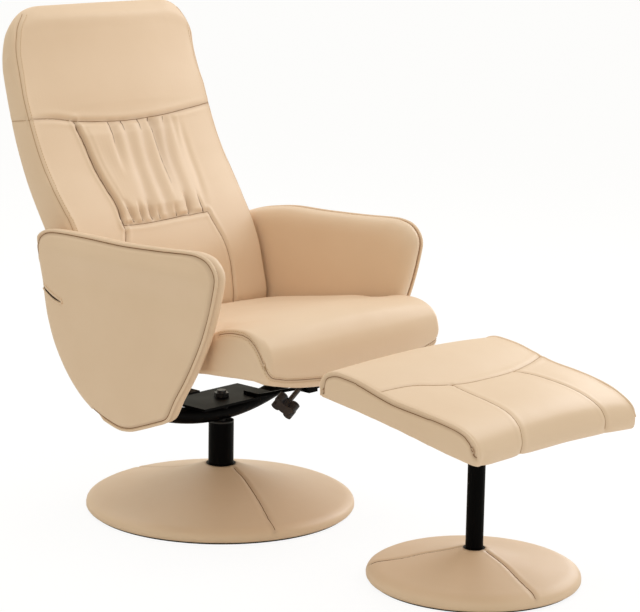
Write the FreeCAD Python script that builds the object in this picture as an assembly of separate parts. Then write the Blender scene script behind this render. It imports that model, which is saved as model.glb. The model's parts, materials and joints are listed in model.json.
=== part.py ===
import FreeCAD, Part
import math
import os

# Swivel recliner with a footstool, in millimetres, +Z up.
# The origin is on the floor, on the chair's swivel axis. The chair faces -Y.
V = FreeCAD.Vector
X_AXIS = V(1, 0, 0)
Z_AXIS = V(0, 0, 1)

# Fits
running_clearance = 0.05
soft_clearance = 0.3

# Disc bases, chair and stool
base_radius = 265.0
base_cone_top = 88.0
stool_base_radius = 193.0
stool_cone_top = 60.0
stool_center_y = -643.0
rim_height = 20.0
cone_wall = 4.0
floor_pad_height = 4.0
weight_thickness = 4.0
rim_inset = 8.0
socket_wall = 5.0
socket_flange_width = 30.0
socket_flange_thickness = 6.0
base_bolt_radius = 4.0
base_bolt_head_height = 5.0
collar_width = 4.0
collar_height = 5.0

# Chair column and swivel
column_radius = 25.0
column_wall = 3.0
column_top = 172.0
spindle_radius = 15.0
spindle_bottom = 40.0
bush_length = 25.0
lower_bush_bottom = 55.0
clip_thickness = 2.0
clip_width = 4.0
thrust_washer_thickness = 3.0
neck_radius = 9.0

# Cradle under the seat
cradle_tube_radius = 16.0
cradle_tube_wall = 2.5
cradle_rise = 71.0
plate_half_length = 100.0
plate_half_depth = 55.0
plate_thickness = 5.0
spacer_radius = 14.0
spindle_nut_height = 8.0
spindle_nut_radius = 15.0

# Widths across the chair
seat_half_width = 238.0
side_gap = 5.0
arm_pad_depth = 33.0
arm_board_thickness = 14.0
arm_panel_thickness = 8.0
arm_board_scale = 0.88
arm_panel_scale = 0.985

# Arm brackets and bolts
bracket_thickness = 3.0
bracket_half_depth = 50.0
bracket_half_height = 34.0
arm_bolt_radius = 4.0
arm_bolt_head_height = 6.0
arm_bolt_offset = 34.0

# Seat rails and runners, heights above the column top
rail_height = 120.0
rail_thickness = 4.0
rail_leg_width = 46.0
rail_leg_height = 16.0
rail_leg_thickness = 3.0
rail_front_y = -140.0
rail_rear_y = 110.0
rail_screw_radius = 2.5
runner_width = 18.0
runner_front_y = -115.0
runner_rear_y = 84.0

# Seat, heights above the column top
seat_rear_y = 97.0
seat_front_y = -356.0
seat_rear_bottom = 144.0
seat_front_bottom = 176.0
seat_front_top = 261.0
seat_rear_top = 192.0
seat_board_thickness = 12.0
seat_board_inset = 18.0
seat_nose_drop = 41.0
seat_roll_depth = 51.0
seat_top_crown = 5.0
seat_bottom_inset = 10.0
seat_lip_drop = 29.0
seat_lip_sag = 0.9
seat_lip_depth = 30.0
seat_lip_round = 0.07
seat_swell = 6.0
seat_edge_tuck = 10.0

# Backrest, heights above the column top
pivot_y = 160.0
pivot_height = 266.0
pivot_pin_radius = 6.0
pivot_head_radius = 11.0
pivot_head_height = 4.0
pin_hole_gap = 2.0
hinge_plate_thickness = 4.0
hinge_plate_inset = 3.0
hinge_plate_size = 40.0
back_rail_width = 18.0
back_rail_depth = 22.0
back_cross_radius = 9.0
back_swell = 3.0
back_edge_tuck = 12.0
head_seam_depth = 6.0
head_face_rise = 8.0
head_fullness = 9.0
slit_half_length = 30.0
slit_half_width = 2.5
slit_tilt_deg = 20.0

# Recline clamp, heights above the column top
clamp_x = 60.0
clamp_y = -173.0
clamp_height = 105.0
clamp_tilt_deg = 35.0
clamp_block_size = 34.0
clamp_arm_width = 24.0
clamp_arm_thickness = 6.0
clamp_rail_gap = 26.0
clamp_rail_thickness = 6.0
clamp_rail_front_y = -240.0
clamp_rail_rear_y = -110.0
clamp_rail_drop = 40.0
rod_radius = 5.0
knob_distance = 73.0
knob_thickness = 18.0
knob_hub_radius = 16.5
knob_lobe_radius = 9.0
knob_lobe_reach = 20.0
knob_lobes = 4

# Footstool top, heights above the post top
stool_post_radius = 16.0
stool_post_wall = 2.5
stool_post_top = 300.0
stool_half_width = 227.0
stool_board_thickness = 12.0
stool_board_inset = 18.0
stool_plate_size = 120.0
stool_screw_radius = 3.0
stool_seam_depth = 4.0
stool_swell = 5.0
stool_edge_tuck = 8.0

# Places worked out from the sizes above
arm_inner_x = seat_half_width + side_gap
board_outer_x = arm_inner_x + arm_pad_depth
board_inner_x = board_outer_x - arm_board_thickness
arm_outer_x = board_outer_x + arm_panel_thickness
cradle_z = column_top + thrust_washer_thickness + cradle_tube_radius
bracket_inner_x = board_inner_x - bracket_thickness
cradle_bend = (board_inner_x ** 2 + cradle_rise ** 2) / (2 * cradle_rise)
plate_bottom = (
    cradle_z + cradle_bend + soft_clearance
    - math.sqrt((cradle_bend - cradle_tube_radius) ** 2 - plate_half_length ** 2)
)
plate_top = plate_bottom + plate_thickness
pivot_z = column_top + pivot_height
rail_top_z = column_top + rail_height

os.makedirs("parts", exist_ok=True)


def save(name, *solids):
    shape = solids[0] if len(solids) == 1 else Part.makeCompound(list(solids))
    shape.exportStep("parts/" + name + ".step")


def block(x_range, y_range, z_range):
    low = V(min(x_range), min(y_range), min(z_range))
    high = V(max(x_range), max(y_range), max(z_range))
    size = high - low
    return Part.makeBox(size.x, size.y, size.z, low)


def rod(start, end, radius):
    along = end - start
    return Part.makeCylinder(radius, along.Length, start, along)


def sleeve(outer, inner, bottom, top, y=0.0):
    foot = V(0, y, bottom)
    head = V(0, y, top)
    return rod(foot, head, outer).cut(rod(foot, head, inner))


def outline(x, start, steps, lift):
    """Closed wire at one x from (y, height) points: a step is a line's end, or an arc's middle and end."""
    def place(point):
        return V(x, point[0], point[1] + lift)

    edges = []
    here = place(start)
    for step in steps:
        there = place(step[-1])
        if len(step) == 2:
            edges.append(Part.Arc(here, place(step[0]), there).toShape())
        else:
            edges.append(Part.LineSegment(here, there).toShape())
        here = there
    return Part.Wire(edges)


def slab(x_range, points, lift):
    """Flat-sided piece with the given (y, height) corners, between two x."""
    steps = [(point,) for point in points[1:]] + [(points[0],)]
    face = Part.Face(outline(min(x_range), points[0], steps, lift))
    return face.extrude(V(max(x_range) - min(x_range), 0, 0))


def skin(sections):
    """Closed solid with straight bands from each section to the next."""
    return Part.makeLoft(sections, True, True)


def mirrored(shape):
    return shape.mirror(V(0, 0, 0), X_AXIS)


def save_pair(name, shape):
    save(name + "_right", shape)
    save(name + "_left", mirrored(shape))


def disc_base(prefix, y, radius, cone_top, tube_radius):
    """Floor pad, weight, wrapped cone, socket, collar and bolts of one round base."""
    pad_radius = radius - rim_inset
    weight_top = floor_pad_height + weight_thickness
    flange_radius = tube_radius + socket_wall + socket_flange_width
    flange_top = weight_top + socket_flange_thickness
    hub_radius = tube_radius + collar_width
    save(prefix + "_floor_pad", rod(V(0, y, 0), V(0, y, floor_pad_height), pad_radius))

    def cone_profile(inset):
        foot = V(radius - inset, y, floor_pad_height)
        rim = V(radius - inset, y, rim_height - inset)
        shoulder = V(radius - rim_height, y, rim_height + rim_inset - inset)
        hub = V(hub_radius, y, cone_top - inset)
        run = shoulder.x - hub.x
        sag = V(hub.x + run * 0.42, y, shoulder.z + (hub.z - shoulder.z) * 0.44)
        bulge = V(radius - inset - rim_inset * 0.5, y, rim_height + rim_inset * 0.4 - inset)
        axis_low = V(0, y, floor_pad_height)
        axis_high = V(0, y, hub.z)
        edges = [
            Part.LineSegment(axis_low, foot).toShape(),
            Part.LineSegment(foot, rim).toShape(),
            Part.Arc(rim, bulge, shoulder).toShape(),
            Part.Arc(shoulder, sag, hub).toShape(),
            Part.LineSegment(hub, axis_high).toShape(),
            Part.LineSegment(axis_high, axis_low).toShape(),
        ]
        return Part.Face(Part.Wire(edges)).revolve(V(0, y, 0), Z_AXIS, 360)

    bore = rod(V(0, y, 0), V(0, y, cone_top), hub_radius)
    cone = cone_profile(0).cut(cone_profile(cone_wall)).cut(bore)
    save(prefix + "_cone_cover", cone)

    bolt_circle = tube_radius + socket_wall + socket_flange_width / 2
    spots = []
    for turn in range(4):
        angle = math.radians(45 + 90 * turn)
        spots.append(V(bolt_circle * math.cos(angle), y + bolt_circle * math.sin(angle), 0))
    weight = sleeve(radius - cone_wall - running_clearance, tube_radius, floor_pad_height, weight_top, y)
    socket = sleeve(flange_radius, tube_radius, weight_top, flange_top, y)
    sleeve_top = cone_top - cone_wall - rim_inset
    socket = socket.fuse(sleeve(tube_radius + socket_wall - 2, tube_radius, flange_top, sleeve_top, y))
    bolts = []
    for spot in spots:
        low = spot + V(0, 0, floor_pad_height)
        seat = spot + V(0, 0, flange_top)
        hole = rod(low, seat, base_bolt_radius + running_clearance)
        weight = weight.cut(hole)
        socket = socket.cut(hole)
        head = rod(seat, seat + V(0, 0, base_bolt_head_height), base_bolt_radius * 1.7)
        bolts.append(rod(low, seat, base_bolt_radius).fuse(head))
    save(prefix + "_weight", weight)
    save(prefix + "_socket", socket.removeSplitter())
    save(prefix + "_bolts", *bolts)
    save(prefix + "_collar", sleeve(hub_radius, tube_radius, cone_top - collar_height, cone_top, y))


# Chair base, column and bushes
disc_base("base", 0.0, base_radius, base_cone_top, column_radius)
column_inner = column_radius - column_wall
save("column_tube", sleeve(column_radius, column_inner, floor_pad_height, column_top))
bush_inner = spindle_radius + running_clearance
lower_bush_top = lower_bush_bottom + bush_length
save("lower_bush", sleeve(column_inner, bush_inner, lower_bush_bottom, lower_bush_top))
save("upper_bush", sleeve(column_inner, bush_inner, column_top - bush_length, column_top))

# Spindle, clip and washer that turn with the seat
spindle_step = column_top + thrust_washer_thickness
neck_top = plate_top + spindle_nut_height + plate_thickness
clip_top = lower_bush_bottom - soft_clearance
groove_radius = spindle_radius - clip_thickness
spindle = rod(V(0, 0, spindle_bottom), V(0, 0, spindle_step), spindle_radius)
spindle = spindle.cut(sleeve(spindle_radius * 2, groove_radius, clip_top - clip_thickness, clip_top))
spindle = spindle.fuse(rod(V(0, 0, spindle_step), V(0, 0, neck_top), neck_radius)).removeSplitter()
save("spindle", spindle)
clip_outer = spindle_radius + clip_width
save("retaining_clip", sleeve(clip_outer, groove_radius, clip_top - clip_thickness, clip_top))
save("thrust_washer", sleeve(column_radius, spindle_radius, column_top + running_clearance, spindle_step))

# Cradle tube, one arc across the chair from arm to arm
def cradle_sweep(radius):
    reach = arm_outer_x / cradle_bend
    ends = []
    for side in (-1, 1):
        end_z = cradle_z + cradle_bend * (1 - math.cos(reach))
        ends.append(V(side * cradle_bend * math.sin(reach), 0, end_z))
    path = Part.Wire([Part.Arc(ends[0], V(0, 0, cradle_z), ends[1]).toShape()])
    start_way = V(math.cos(reach), 0, -math.sin(reach))
    ring = Part.Wire([Part.Circle(ends[0], start_way, radius).toShape()])
    return path.makePipeShell([ring], True, False)


neck_bore = rod(V(0, 0, column_top), V(0, 0, plate_top * 2), neck_radius + running_clearance)
washer_seat = rod(V(0, 0, column_top - rim_height), V(0, 0, spindle_step), column_radius * 2)
tube_x = (-bracket_inner_x, bracket_inner_x)
tube_room = block(tube_x, (-rim_height, rim_height), (column_top, column_top * 2))
cradle = cradle_sweep(cradle_tube_radius).cut(cradle_sweep(cradle_tube_radius - cradle_tube_wall))
cradle = cradle.common(tube_room).cut(neck_bore).cut(washer_seat)
save("cradle_tube", cradle)
spacer = sleeve(spacer_radius, neck_radius + running_clearance, cradle_z, plate_bottom)
save("plate_spacer", spacer.cut(cradle_sweep(cradle_tube_radius)))
plate_z = (plate_bottom, plate_top)
plate = block((-plate_half_length, plate_half_length), (-plate_half_depth, plate_half_depth), plate_z)
save("mount_plate", plate.cut(neck_bore))
nut_corners = []
for corner in range(7):
    angle = math.radians(60 * corner)
    corner_y = spindle_nut_radius * math.sin(angle)
    nut_corners.append(V(spindle_nut_radius * math.cos(angle), corner_y, plate_top))
nut = Part.Face(Part.makePolygon(nut_corners)).extrude(V(0, 0, spindle_nut_height))
save("spindle_nut", nut.cut(neck_bore))

# Armrests: heights above the column top
arm_center = (-20.0, 228.0)
arm_top_front = (-204.0, 396.0)
arm_top_middle = (-20.0, 389.0)
arm_top_rear = (140.0, 390.0)
arm_heel_round = (193.0, 382.0)
arm_heel = (215.0, 353.0)
arm_rear_dip = (204.0, 308.0)
arm_rear = (201.0, 262.0)
arm_rear_round = (155.0, 145.0)
arm_foot_rear = (49.0, 53.0)
arm_foot = (-10.0, 37.0)
arm_foot_front = (-105.0, 62.0)
arm_toe = (-139.0, 75.0)
arm_front = (-214.0, 198.0)
arm_front_top = (-260.0, 328.0)
arm_front_round = (-252.0, 373.0)
arm_steps = [
    (arm_top_middle, arm_top_rear),
    (arm_heel_round, arm_heel),
    (arm_rear_dip, arm_rear),
    (arm_rear_round, arm_foot_rear),
    (arm_foot, arm_foot_front),
    (arm_toe,),
    (arm_front, arm_front_top),
    (arm_front_round, arm_top_front),
]


def arm_outline(x, scale):
    def shrink(point):
        return tuple(c + (p - c) * scale for p, c in zip(point, arm_center))

    steps = [tuple(shrink(point) for point in step) for step in arm_steps]
    return outline(x, shrink(arm_top_front), steps, column_top)


def arm_slab(x_range, scale):
    return Part.Face(arm_outline(x_range[0], scale)).extrude(V(x_range[1] - x_range[0], 0, 0))


bracket_z = cradle_z + cradle_rise
bracket_box = (
    (-bracket_half_depth, bracket_half_depth),
    (bracket_z - bracket_half_height, bracket_z + bracket_half_height),
)
bracket = block((bracket_inner_x, board_inner_x), *bracket_box)
bracket_room = block(
    (0, board_inner_x),
    (bracket_box[0][0] - soft_clearance, bracket_box[0][1] + soft_clearance),
    (0, bracket_box[1][1] + soft_clearance),
)
arm_board = arm_slab((board_inner_x, board_outer_x), arm_board_scale)
board_room = arm_slab((board_inner_x, board_outer_x), arm_board_scale + soft_clearance / pivot_height)
pad_stations = ((0.0, 0.90), (0.28, 0.965), (0.75, 0.997), (1.0, 1.0))
arm_pad = skin([arm_outline(arm_inner_x + share * arm_pad_depth, scale) for share, scale in pad_stations])
arm_pad = arm_pad.cut(board_room).cut(bracket_room)
arm_bolts = []
for side in (-1, 1):
    spot = V(bracket_inner_x, side * arm_bolt_offset, bracket_z)
    far = spot + X_AXIS * (bracket_thickness + arm_board_thickness)
    hole = rod(spot, far, arm_bolt_radius + running_clearance)
    bracket = bracket.cut(hole)
    arm_board = arm_board.cut(hole)
    head = rod(spot - X_AXIS * arm_bolt_head_height, spot, arm_bolt_radius * 1.7)
    arm_bolts.append(rod(spot, far, arm_bolt_radius).fuse(head))

# Pivot pin of the backrest, headed in the arm board and reached through a slit in the outer panel
pin_tip_x = seat_half_width - hinge_plate_inset - hinge_plate_thickness - back_rail_width / 2
pin_head_x = board_outer_x - pivot_head_height


def pivot_rod(start_x, end_x, radius):
    return rod(V(start_x, pivot_y, pivot_z), V(end_x, pivot_y, pivot_z), radius)


pivot_pin = pivot_rod(pin_tip_x, board_outer_x, pivot_pin_radius)
pivot_pin = pivot_pin.fuse(pivot_rod(pin_head_x, board_outer_x, pivot_head_radius)).removeSplitter()
pin_bore = pivot_rod(0, board_outer_x, pivot_pin_radius + running_clearance)
head_bore = pivot_rod(pin_head_x, board_outer_x, pivot_head_radius + running_clearance)
pin_room = pivot_rod(0, arm_outer_x, pivot_pin_radius + pin_hole_gap)
arm_board = arm_board.cut(pin_bore).cut(head_bore)
head_room = pivot_rod(pin_head_x, board_outer_x, pivot_head_radius + pin_hole_gap)
arm_pad = arm_pad.cut(pin_room).cut(head_room)
slit_y = (-slit_half_length, slit_half_length)
slit = block((board_outer_x, arm_outer_x), slit_y, (-slit_half_width, slit_half_width))
slit.rotate(V(0, 0, 0), X_AXIS, slit_tilt_deg)
slit.translate(V(0, pivot_y, pivot_z))
arm_panel = arm_slab((board_outer_x, arm_outer_x), arm_panel_scale).cut(slit)

# Seat rails on the arms
leg_outer = arm_inner_x - soft_clearance
leg_inner = leg_outer - rail_leg_thickness
rail_y = (rail_front_y, rail_rear_y)
rail = block((leg_outer - rail_leg_width, leg_outer), rail_y, (rail_top_z - rail_thickness, rail_top_z))
rail = rail.fuse(block((leg_inner, leg_outer), rail_y, (rail_top_z, rail_top_z + rail_leg_height)))
rail_screws = []
for share in (0.12, 0.88):
    screw_y = rail_front_y + share * (rail_rear_y - rail_front_y)
    start = V(leg_inner, screw_y, rail_top_z + rail_leg_height / 2)
    far = V(board_outer_x - rail_leg_thickness, screw_y, start.z)
    hole = rod(start, far, rail_screw_radius + running_clearance)
    rail = rail.cut(hole)
    arm_board = arm_board.cut(hole)
    arm_pad = arm_pad.cut(hole)
    head = rod(start - X_AXIS, start, rail_screw_radius * 1.8)
    rail_screws.append(rod(start, far, rail_screw_radius).fuse(head))
save_pair("seat_rail", rail.removeSplitter())
save("rail_screws", *rail_screws, *[mirrored(screw) for screw in rail_screws])
save_pair("arm_bracket", bracket)
save("arm_bolts", *arm_bolts, *[mirrored(bolt) for bolt in arm_bolts])
save_pair("arm_board", arm_board)
save_pair("arm_pad", arm_pad)
save_pair("arm_outer_panel", arm_panel)
save_pair("pivot_pin", pivot_pin)


# Seat
def seat_bottom(y):
    share = (y - seat_front_y) / (seat_rear_y - seat_front_y)
    return seat_front_bottom + share * (seat_rear_bottom - seat_front_bottom)


def seat_outline(x, tuck):
    lip_rear_y = seat_front_y + seat_lip_depth
    lip_rear = (lip_rear_y, seat_bottom(lip_rear_y))
    lip_drop = seat_lip_drop * (1 - seat_lip_sag * (x / seat_half_width) ** 2)
    front_bottom = (seat_front_y + seat_bottom_inset + tuck, seat_front_bottom - lip_drop)
    lip_round = seat_lip_round * (lip_rear[1] - front_bottom[1])
    lip_low = ((lip_rear[0] + front_bottom[0]) / 2, front_bottom[1] + lip_round)
    nose = (seat_front_y + tuck, seat_front_top - seat_nose_drop - lip_drop / 2)
    front_top = (seat_front_y + seat_roll_depth, seat_front_top - tuck)
    rear_top = (seat_rear_y, seat_rear_top - tuck)
    middle = ((front_top[0] + rear_top[0]) / 2, (front_top[1] + rear_top[1]) / 2 + seat_top_crown)
    rear_bottom = (seat_rear_y, seat_rear_bottom)
    steps = [(lip_rear,), (lip_low, front_bottom), (nose, front_top), (middle, rear_top), (rear_bottom,)]
    return outline(x, rear_bottom, steps, column_top)


def padded(section, half_width, crown, edge_tuck, middle_shares=(0.0, 0.28, 0.55)):
    """Cushion that swells to its middle and is drawn in at its two side seams."""
    shares = list(middle_shares) + [0.74, 0.87, 0.94, 0.98, 1.0]
    every = [-share for share in reversed(shares) if share > 0] + shares
    sections = []
    for share in every:
        tuck = edge_tuck * abs(share) ** 24 - crown * (1 - share ** 2)
        sections.append(section(share * half_width, tuck))
    return skin(sections)


def board_slab(half_width, front_y, rear_y, bottom, thickness, grow, lift):
    corners = [
        (front_y - grow, bottom(front_y - grow)),
        (rear_y + grow, bottom(rear_y + grow)),
        (rear_y + grow, bottom(rear_y + grow) + thickness + grow),
        (front_y - grow, bottom(front_y - grow) + thickness + grow),
    ]
    return slab((-half_width - grow, half_width + grow), corners, lift)


seat_board_sizes = (
    seat_half_width - seat_board_inset,
    seat_front_y + seat_board_inset * 2,
    seat_rear_y - seat_board_inset,
    seat_bottom,
    seat_board_thickness,
)
save("seat_board", board_slab(*seat_board_sizes, 0.0, column_top))
seat_pad = padded(seat_outline, seat_half_width, seat_swell, seat_edge_tuck)
save("seat_cushion", seat_pad.cut(board_slab(*seat_board_sizes, soft_clearance, column_top)))
runner_outer = seat_board_sizes[0] - running_clearance
runner_foot = rail_height + soft_clearance
runner_corners = [
    (runner_front_y, runner_foot),
    (runner_rear_y - seat_board_inset, runner_foot),
    (runner_rear_y - seat_board_inset, seat_bottom(runner_rear_y - seat_board_inset)),
    (runner_front_y, seat_bottom(runner_front_y)),
]
save_pair("seat_runner", slab((runner_outer - runner_width, runner_outer), runner_corners, column_top))

# Recline clamp: an arm from the plate carries a threaded block,
# and the knob's rod presses on the seat's clamp rail
clamp_spot = V(clamp_x, clamp_y, column_top + clamp_height)
clamp_way = V(math.cos(math.radians(clamp_tilt_deg)), 0, math.sin(math.radians(clamp_tilt_deg)))
half_block = clamp_block_size / 2
block_bottom = clamp_spot.z - half_block
arm_x = (clamp_x - clamp_arm_width / 2, clamp_x + clamp_arm_width / 2)
arm_low = [
    (-plate_half_depth / 4, plate_top),
    (-plate_half_depth, plate_top),
    (clamp_y + half_block, block_bottom - clamp_arm_thickness),
    (clamp_y - half_block, block_bottom - clamp_arm_thickness),
]
arm_high = [(y, z + clamp_arm_thickness) for y, z in reversed(arm_low)]
save("clamp_arm", slab(arm_x, arm_low + arm_high, 0.0))
clamp_block = block(
    (clamp_x - half_block, clamp_x + half_block),
    (clamp_y - half_block, clamp_y + half_block),
    (block_bottom, clamp_spot.z + half_block),
)
clamp_bore = rod(
    clamp_spot - clamp_way * clamp_block_size,
    clamp_spot + clamp_way * clamp_block_size,
    rod_radius + running_clearance,
)
save("clamp_block", clamp_block.cut(clamp_bore))
clamp_rail_x = clamp_x + clamp_rail_gap
clamp_rail_corners = [
    (clamp_rail_front_y, seat_bottom(clamp_rail_front_y)),
    (clamp_rail_front_y, seat_bottom(clamp_rail_front_y) - clamp_rail_drop),
    (clamp_rail_rear_y, seat_bottom(clamp_rail_front_y) - clamp_rail_drop),
    (clamp_rail_rear_y, seat_bottom(clamp_rail_rear_y)),
]
save("clamp_rail", slab((clamp_rail_x, clamp_rail_x + clamp_rail_thickness), clamp_rail_corners, column_top))
knob_spot = clamp_spot - clamp_way * knob_distance
tip_room = clamp_rail_gap - soft_clearance - rod_radius * clamp_way.z
save("clamp_rod", rod(knob_spot, clamp_spot + clamp_way * (tip_room / clamp_way.x), rod_radius))
half_knob = clamp_way * (knob_thickness / 2)
knob = rod(knob_spot - half_knob, knob_spot + half_knob, knob_hub_radius)
lobe_side = clamp_way.cross(V(0, 1, 0))
for turn in range(knob_lobes):
    angle = 2 * math.pi * turn / knob_lobes
    reach = (V(0, 1, 0) * math.cos(angle) + lobe_side * math.sin(angle)) * knob_lobe_reach
    lobe_spot = knob_spot + reach
    knob = knob.fuse(rod(lobe_spot - half_knob, lobe_spot + half_knob, knob_lobe_radius))
knob_bore = rod(knob_spot, knob_spot + clamp_way * knob_thickness, rod_radius)
save("clamp_knob", knob.cut(knob_bore).removeSplitter())

# Backrest: heights above the column top
back_front_foot = (112.0, 168.0)
back_front_low = (101.0, 206.0)
back_lumbar = (122.0, 296.0)
back_bend = (163.0, 385.0)
back_hollow = (223.0, 474.0)
head_seam_side = (283.0, 586.0)
head_seam_middle = (294.0, 563.0)
head_brow = (331.0, 742.0)
head_crest = (351.0, 804.0)
head_rear = (374.0, 728.0)
back_rear_upper = (347.0, 578.0)
back_rear_bend = (290.0, 440.0)
back_rear_lower = (218.0, 312.0)
back_rear_low = (166.0, 204.0)
back_rear_foot = (158.0, 168.0)
crest_drop = 70.0
pleat_depth = 3.0
pleat_pitch = 26.0
pleats_per_side = 5


def back_outline(x, tuck):
    across = abs(x) / seat_half_width
    side = across ** 2
    seam_y = head_seam_middle[0] + (head_seam_side[0] - head_seam_middle[0]) * side + head_seam_depth
    seam_h = head_seam_middle[1] + (head_seam_side[1] - head_seam_middle[1]) * side
    drop = crest_drop * across ** 10

    def front(point):
        return (point[0] + tuck, point[1])

    def rear(point):
        return (point[0] - max(tuck, 0.0), point[1])

    brow = (head_brow[0] + tuck, head_brow[1] - drop)
    crest = (head_crest[0], head_crest[1] - drop)
    nape = (head_rear[0] - max(tuck, 0.0), head_rear[1] - drop * 0.8)
    roll = 0.72
    brow_roll = (brow[0] + (crest[0] - brow[0]) * (1 - roll), brow[1] + (crest[1] - brow[1]) * roll)
    nape_roll = (nape[0] + (crest[0] - nape[0]) * (1 - roll), nape[1] + (crest[1] - nape[1]) * roll)
    face_h = (seam_h + brow[1]) / 2 + head_face_rise
    face_y = (seam_y + brow[0]) / 2 - head_fullness + tuck * 0.5
    pleat = 0.0
    if abs(x) < pleat_pitch * pleats_per_side:
        pleat = pleat_depth * math.cos(2 * math.pi * x / pleat_pitch)
    hollow = (back_hollow[0] + tuck - pleat, back_hollow[1])
    steps = [
        (front(back_front_low),),
        (front(back_lumbar), front(back_bend)),
        (hollow, (seam_y + tuck, seam_h)),
        ((face_y, face_h), brow),
        (brow_roll, crest),
        (nape_roll, nape),
        (rear(back_rear_upper), rear(back_rear_bend)),
        (rear(back_rear_lower), rear(back_rear_low)),
        (rear(back_rear_foot),),
        (front(back_front_foot),),
    ]
    return outline(x, front(back_front_foot), steps, column_top)


pleat_shares = [half * pleat_pitch / 2 / seat_half_width for half in range(2 * pleats_per_side)]
back_pad = padded(back_outline, seat_half_width, back_swell, back_edge_tuck, pleat_shares)
rail_foot = (160.0, 222.0)
rail_lumbar = (172.0, 298.0)
rail_middle = (252.0, 448.0)
rail_neck = (318.0, 588.0)
rail_head = (349.0, 690.0)
rail_course = [rail_foot, rail_lumbar, rail_middle, rail_neck, rail_head]


def rail_band(x_range, grow):
    """Side rail of the back frame, a bent bar of even depth along its course."""
    half = back_rail_depth / 2 + grow
    front_line = []
    rear_line = []
    for index, point in enumerate(rail_course):
        before = rail_course[max(index - 1, 0)]
        after = rail_course[min(index + 1, len(rail_course) - 1)]
        way = V(0, after[0] - before[0], after[1] - before[1]).normalize()
        front_line.append((point[0] - way.z * half, point[1] + way.y * half))
        rear_line.append((point[0] + way.z * half, point[1] - way.y * half))
    return slab(x_range, front_line + list(reversed(rear_line)), column_top)


plate_outer_x = seat_half_width - hinge_plate_inset
plate_inner_x = plate_outer_x - hinge_plate_thickness
back_rail_inner_x = plate_inner_x - back_rail_width
half_plate = hinge_plate_size / 2


def hinge_plate_block(grow):
    return block(
        (plate_inner_x - grow, plate_outer_x + grow),
        (pivot_y - half_plate - grow, pivot_y + half_plate + grow),
        (pivot_z - half_plate - grow, pivot_z + half_plate + grow),
    )


back_rail = rail_band((back_rail_inner_x, plate_inner_x), 0.0).cut(pin_bore)
hinge_plate = hinge_plate_block(0.0).cut(pin_bore)
for side_shape in (rail_band((back_rail_inner_x - soft_clearance, plate_inner_x), soft_clearance),
                   hinge_plate_block(soft_clearance), pin_room):
    back_pad = back_pad.cut(side_shape).cut(mirrored(side_shape))
for name, point in (("lower", rail_lumbar), ("middle", rail_middle), ("upper", rail_head)):
    middle = V(0, point[0], point[1] + column_top)
    reach = X_AXIS * back_rail_inner_x
    save("back_" + name + "_cross_rail", rod(middle - reach, middle + reach, back_cross_radius))
    back_pad = back_pad.cut(rod(middle - reach, middle + reach, back_cross_radius + soft_clearance))
save_pair("back_side_rail", back_rail)
save_pair("back_hinge_plate", hinge_plate)
save("back_cushion", back_pad)

# Footstool: base, post, plate, board and cushion
disc_base("stool", stool_center_y, stool_base_radius, stool_cone_top, stool_post_radius)
post_inner = stool_post_radius - stool_post_wall
save("stool_post", sleeve(stool_post_radius, post_inner, floor_pad_height, stool_post_top, stool_center_y))
stool_rear = (175.0, 51.0)
stool_rear_face = (176.0, 80.0)
stool_rear_top = (138.0, 97.0)
stool_rise = (84.0, 96.0)
stool_seam = (31.0, 79.0)
stool_dip = (-57.0, 70.0)
stool_front_top = (-140.0, 54.0)
stool_nose = (-180.0, 30.0)
stool_front_face = (-183.0, -8.0)
stool_front = (-172.0, -16.0)


def stool_bottom(y):
    share = (y - stool_center_y - stool_front[0]) / (stool_rear[0] - stool_front[0])
    return stool_front[1] + share * (stool_rear[1] - stool_front[1])


def stool_outline(x, tuck):
    def place(point, back=0.0, lower=0.0):
        return (stool_center_y + point[0] + back, point[1] - lower)

    steps = [
        (place(stool_rear_face, -tuck), place(stool_rear_top, 0.0, tuck)),
        (place(stool_rise, 0.0, tuck), place(stool_seam, 0.0, tuck + stool_seam_depth)),
        (place(stool_dip, 0.0, tuck), place(stool_front_top, 0.0, tuck)),
        (place(stool_nose, tuck), place(stool_front_face, tuck)),
        (place(stool_front),),
        (place(stool_rear),),
    ]
    return outline(x, place(stool_rear), steps, stool_post_top)


stool_pad = padded(stool_outline, stool_half_width, stool_swell, stool_edge_tuck)
stool_board_sizes = (
    stool_half_width - stool_board_inset,
    stool_center_y + stool_front[0] + stool_board_inset,
    stool_center_y + stool_rear[0] - stool_board_inset,
    stool_bottom,
    stool_board_thickness,
)
stool_board = board_slab(*stool_board_sizes, 0.0, stool_post_top)
half_foot = stool_plate_size / 2
wedge_rear = stool_center_y + half_foot
wedge_front = stool_center_y - half_foot
wedge_corners = [
    (wedge_front, 0.0),
    (wedge_rear, 0.0),
    (wedge_rear, stool_bottom(wedge_rear)),
    (wedge_front, stool_bottom(wedge_front)),
]
stool_plate = slab((-half_foot, half_foot), wedge_corners, stool_post_top)
stool_screws = []
for side_x in (-1, 1):
    for side_y in (-1, 1):
        spot = V(side_x * half_foot * 0.75, stool_center_y + side_y * half_foot * 0.75, stool_post_top)
        tip = V(spot.x, spot.y, stool_post_top + stool_bottom(spot.y) + stool_board_thickness / 2)
        hole = rod(spot, tip, stool_screw_radius + running_clearance)
        stool_plate = stool_plate.cut(hole)
        stool_board = stool_board.cut(hole)
        head = rod(spot - Z_AXIS * stool_screw_radius, spot, stool_screw_radius * 1.8)
        stool_screws.append(rod(spot, tip, stool_screw_radius).fuse(head))
save("stool_board", stool_board)
save("stool_plate", stool_plate)
save("stool_screws", *stool_screws)
save("stool_cushion", stool_pad.cut(board_slab(*stool_board_sizes, soft_clearance, stool_post_top)))
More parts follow.
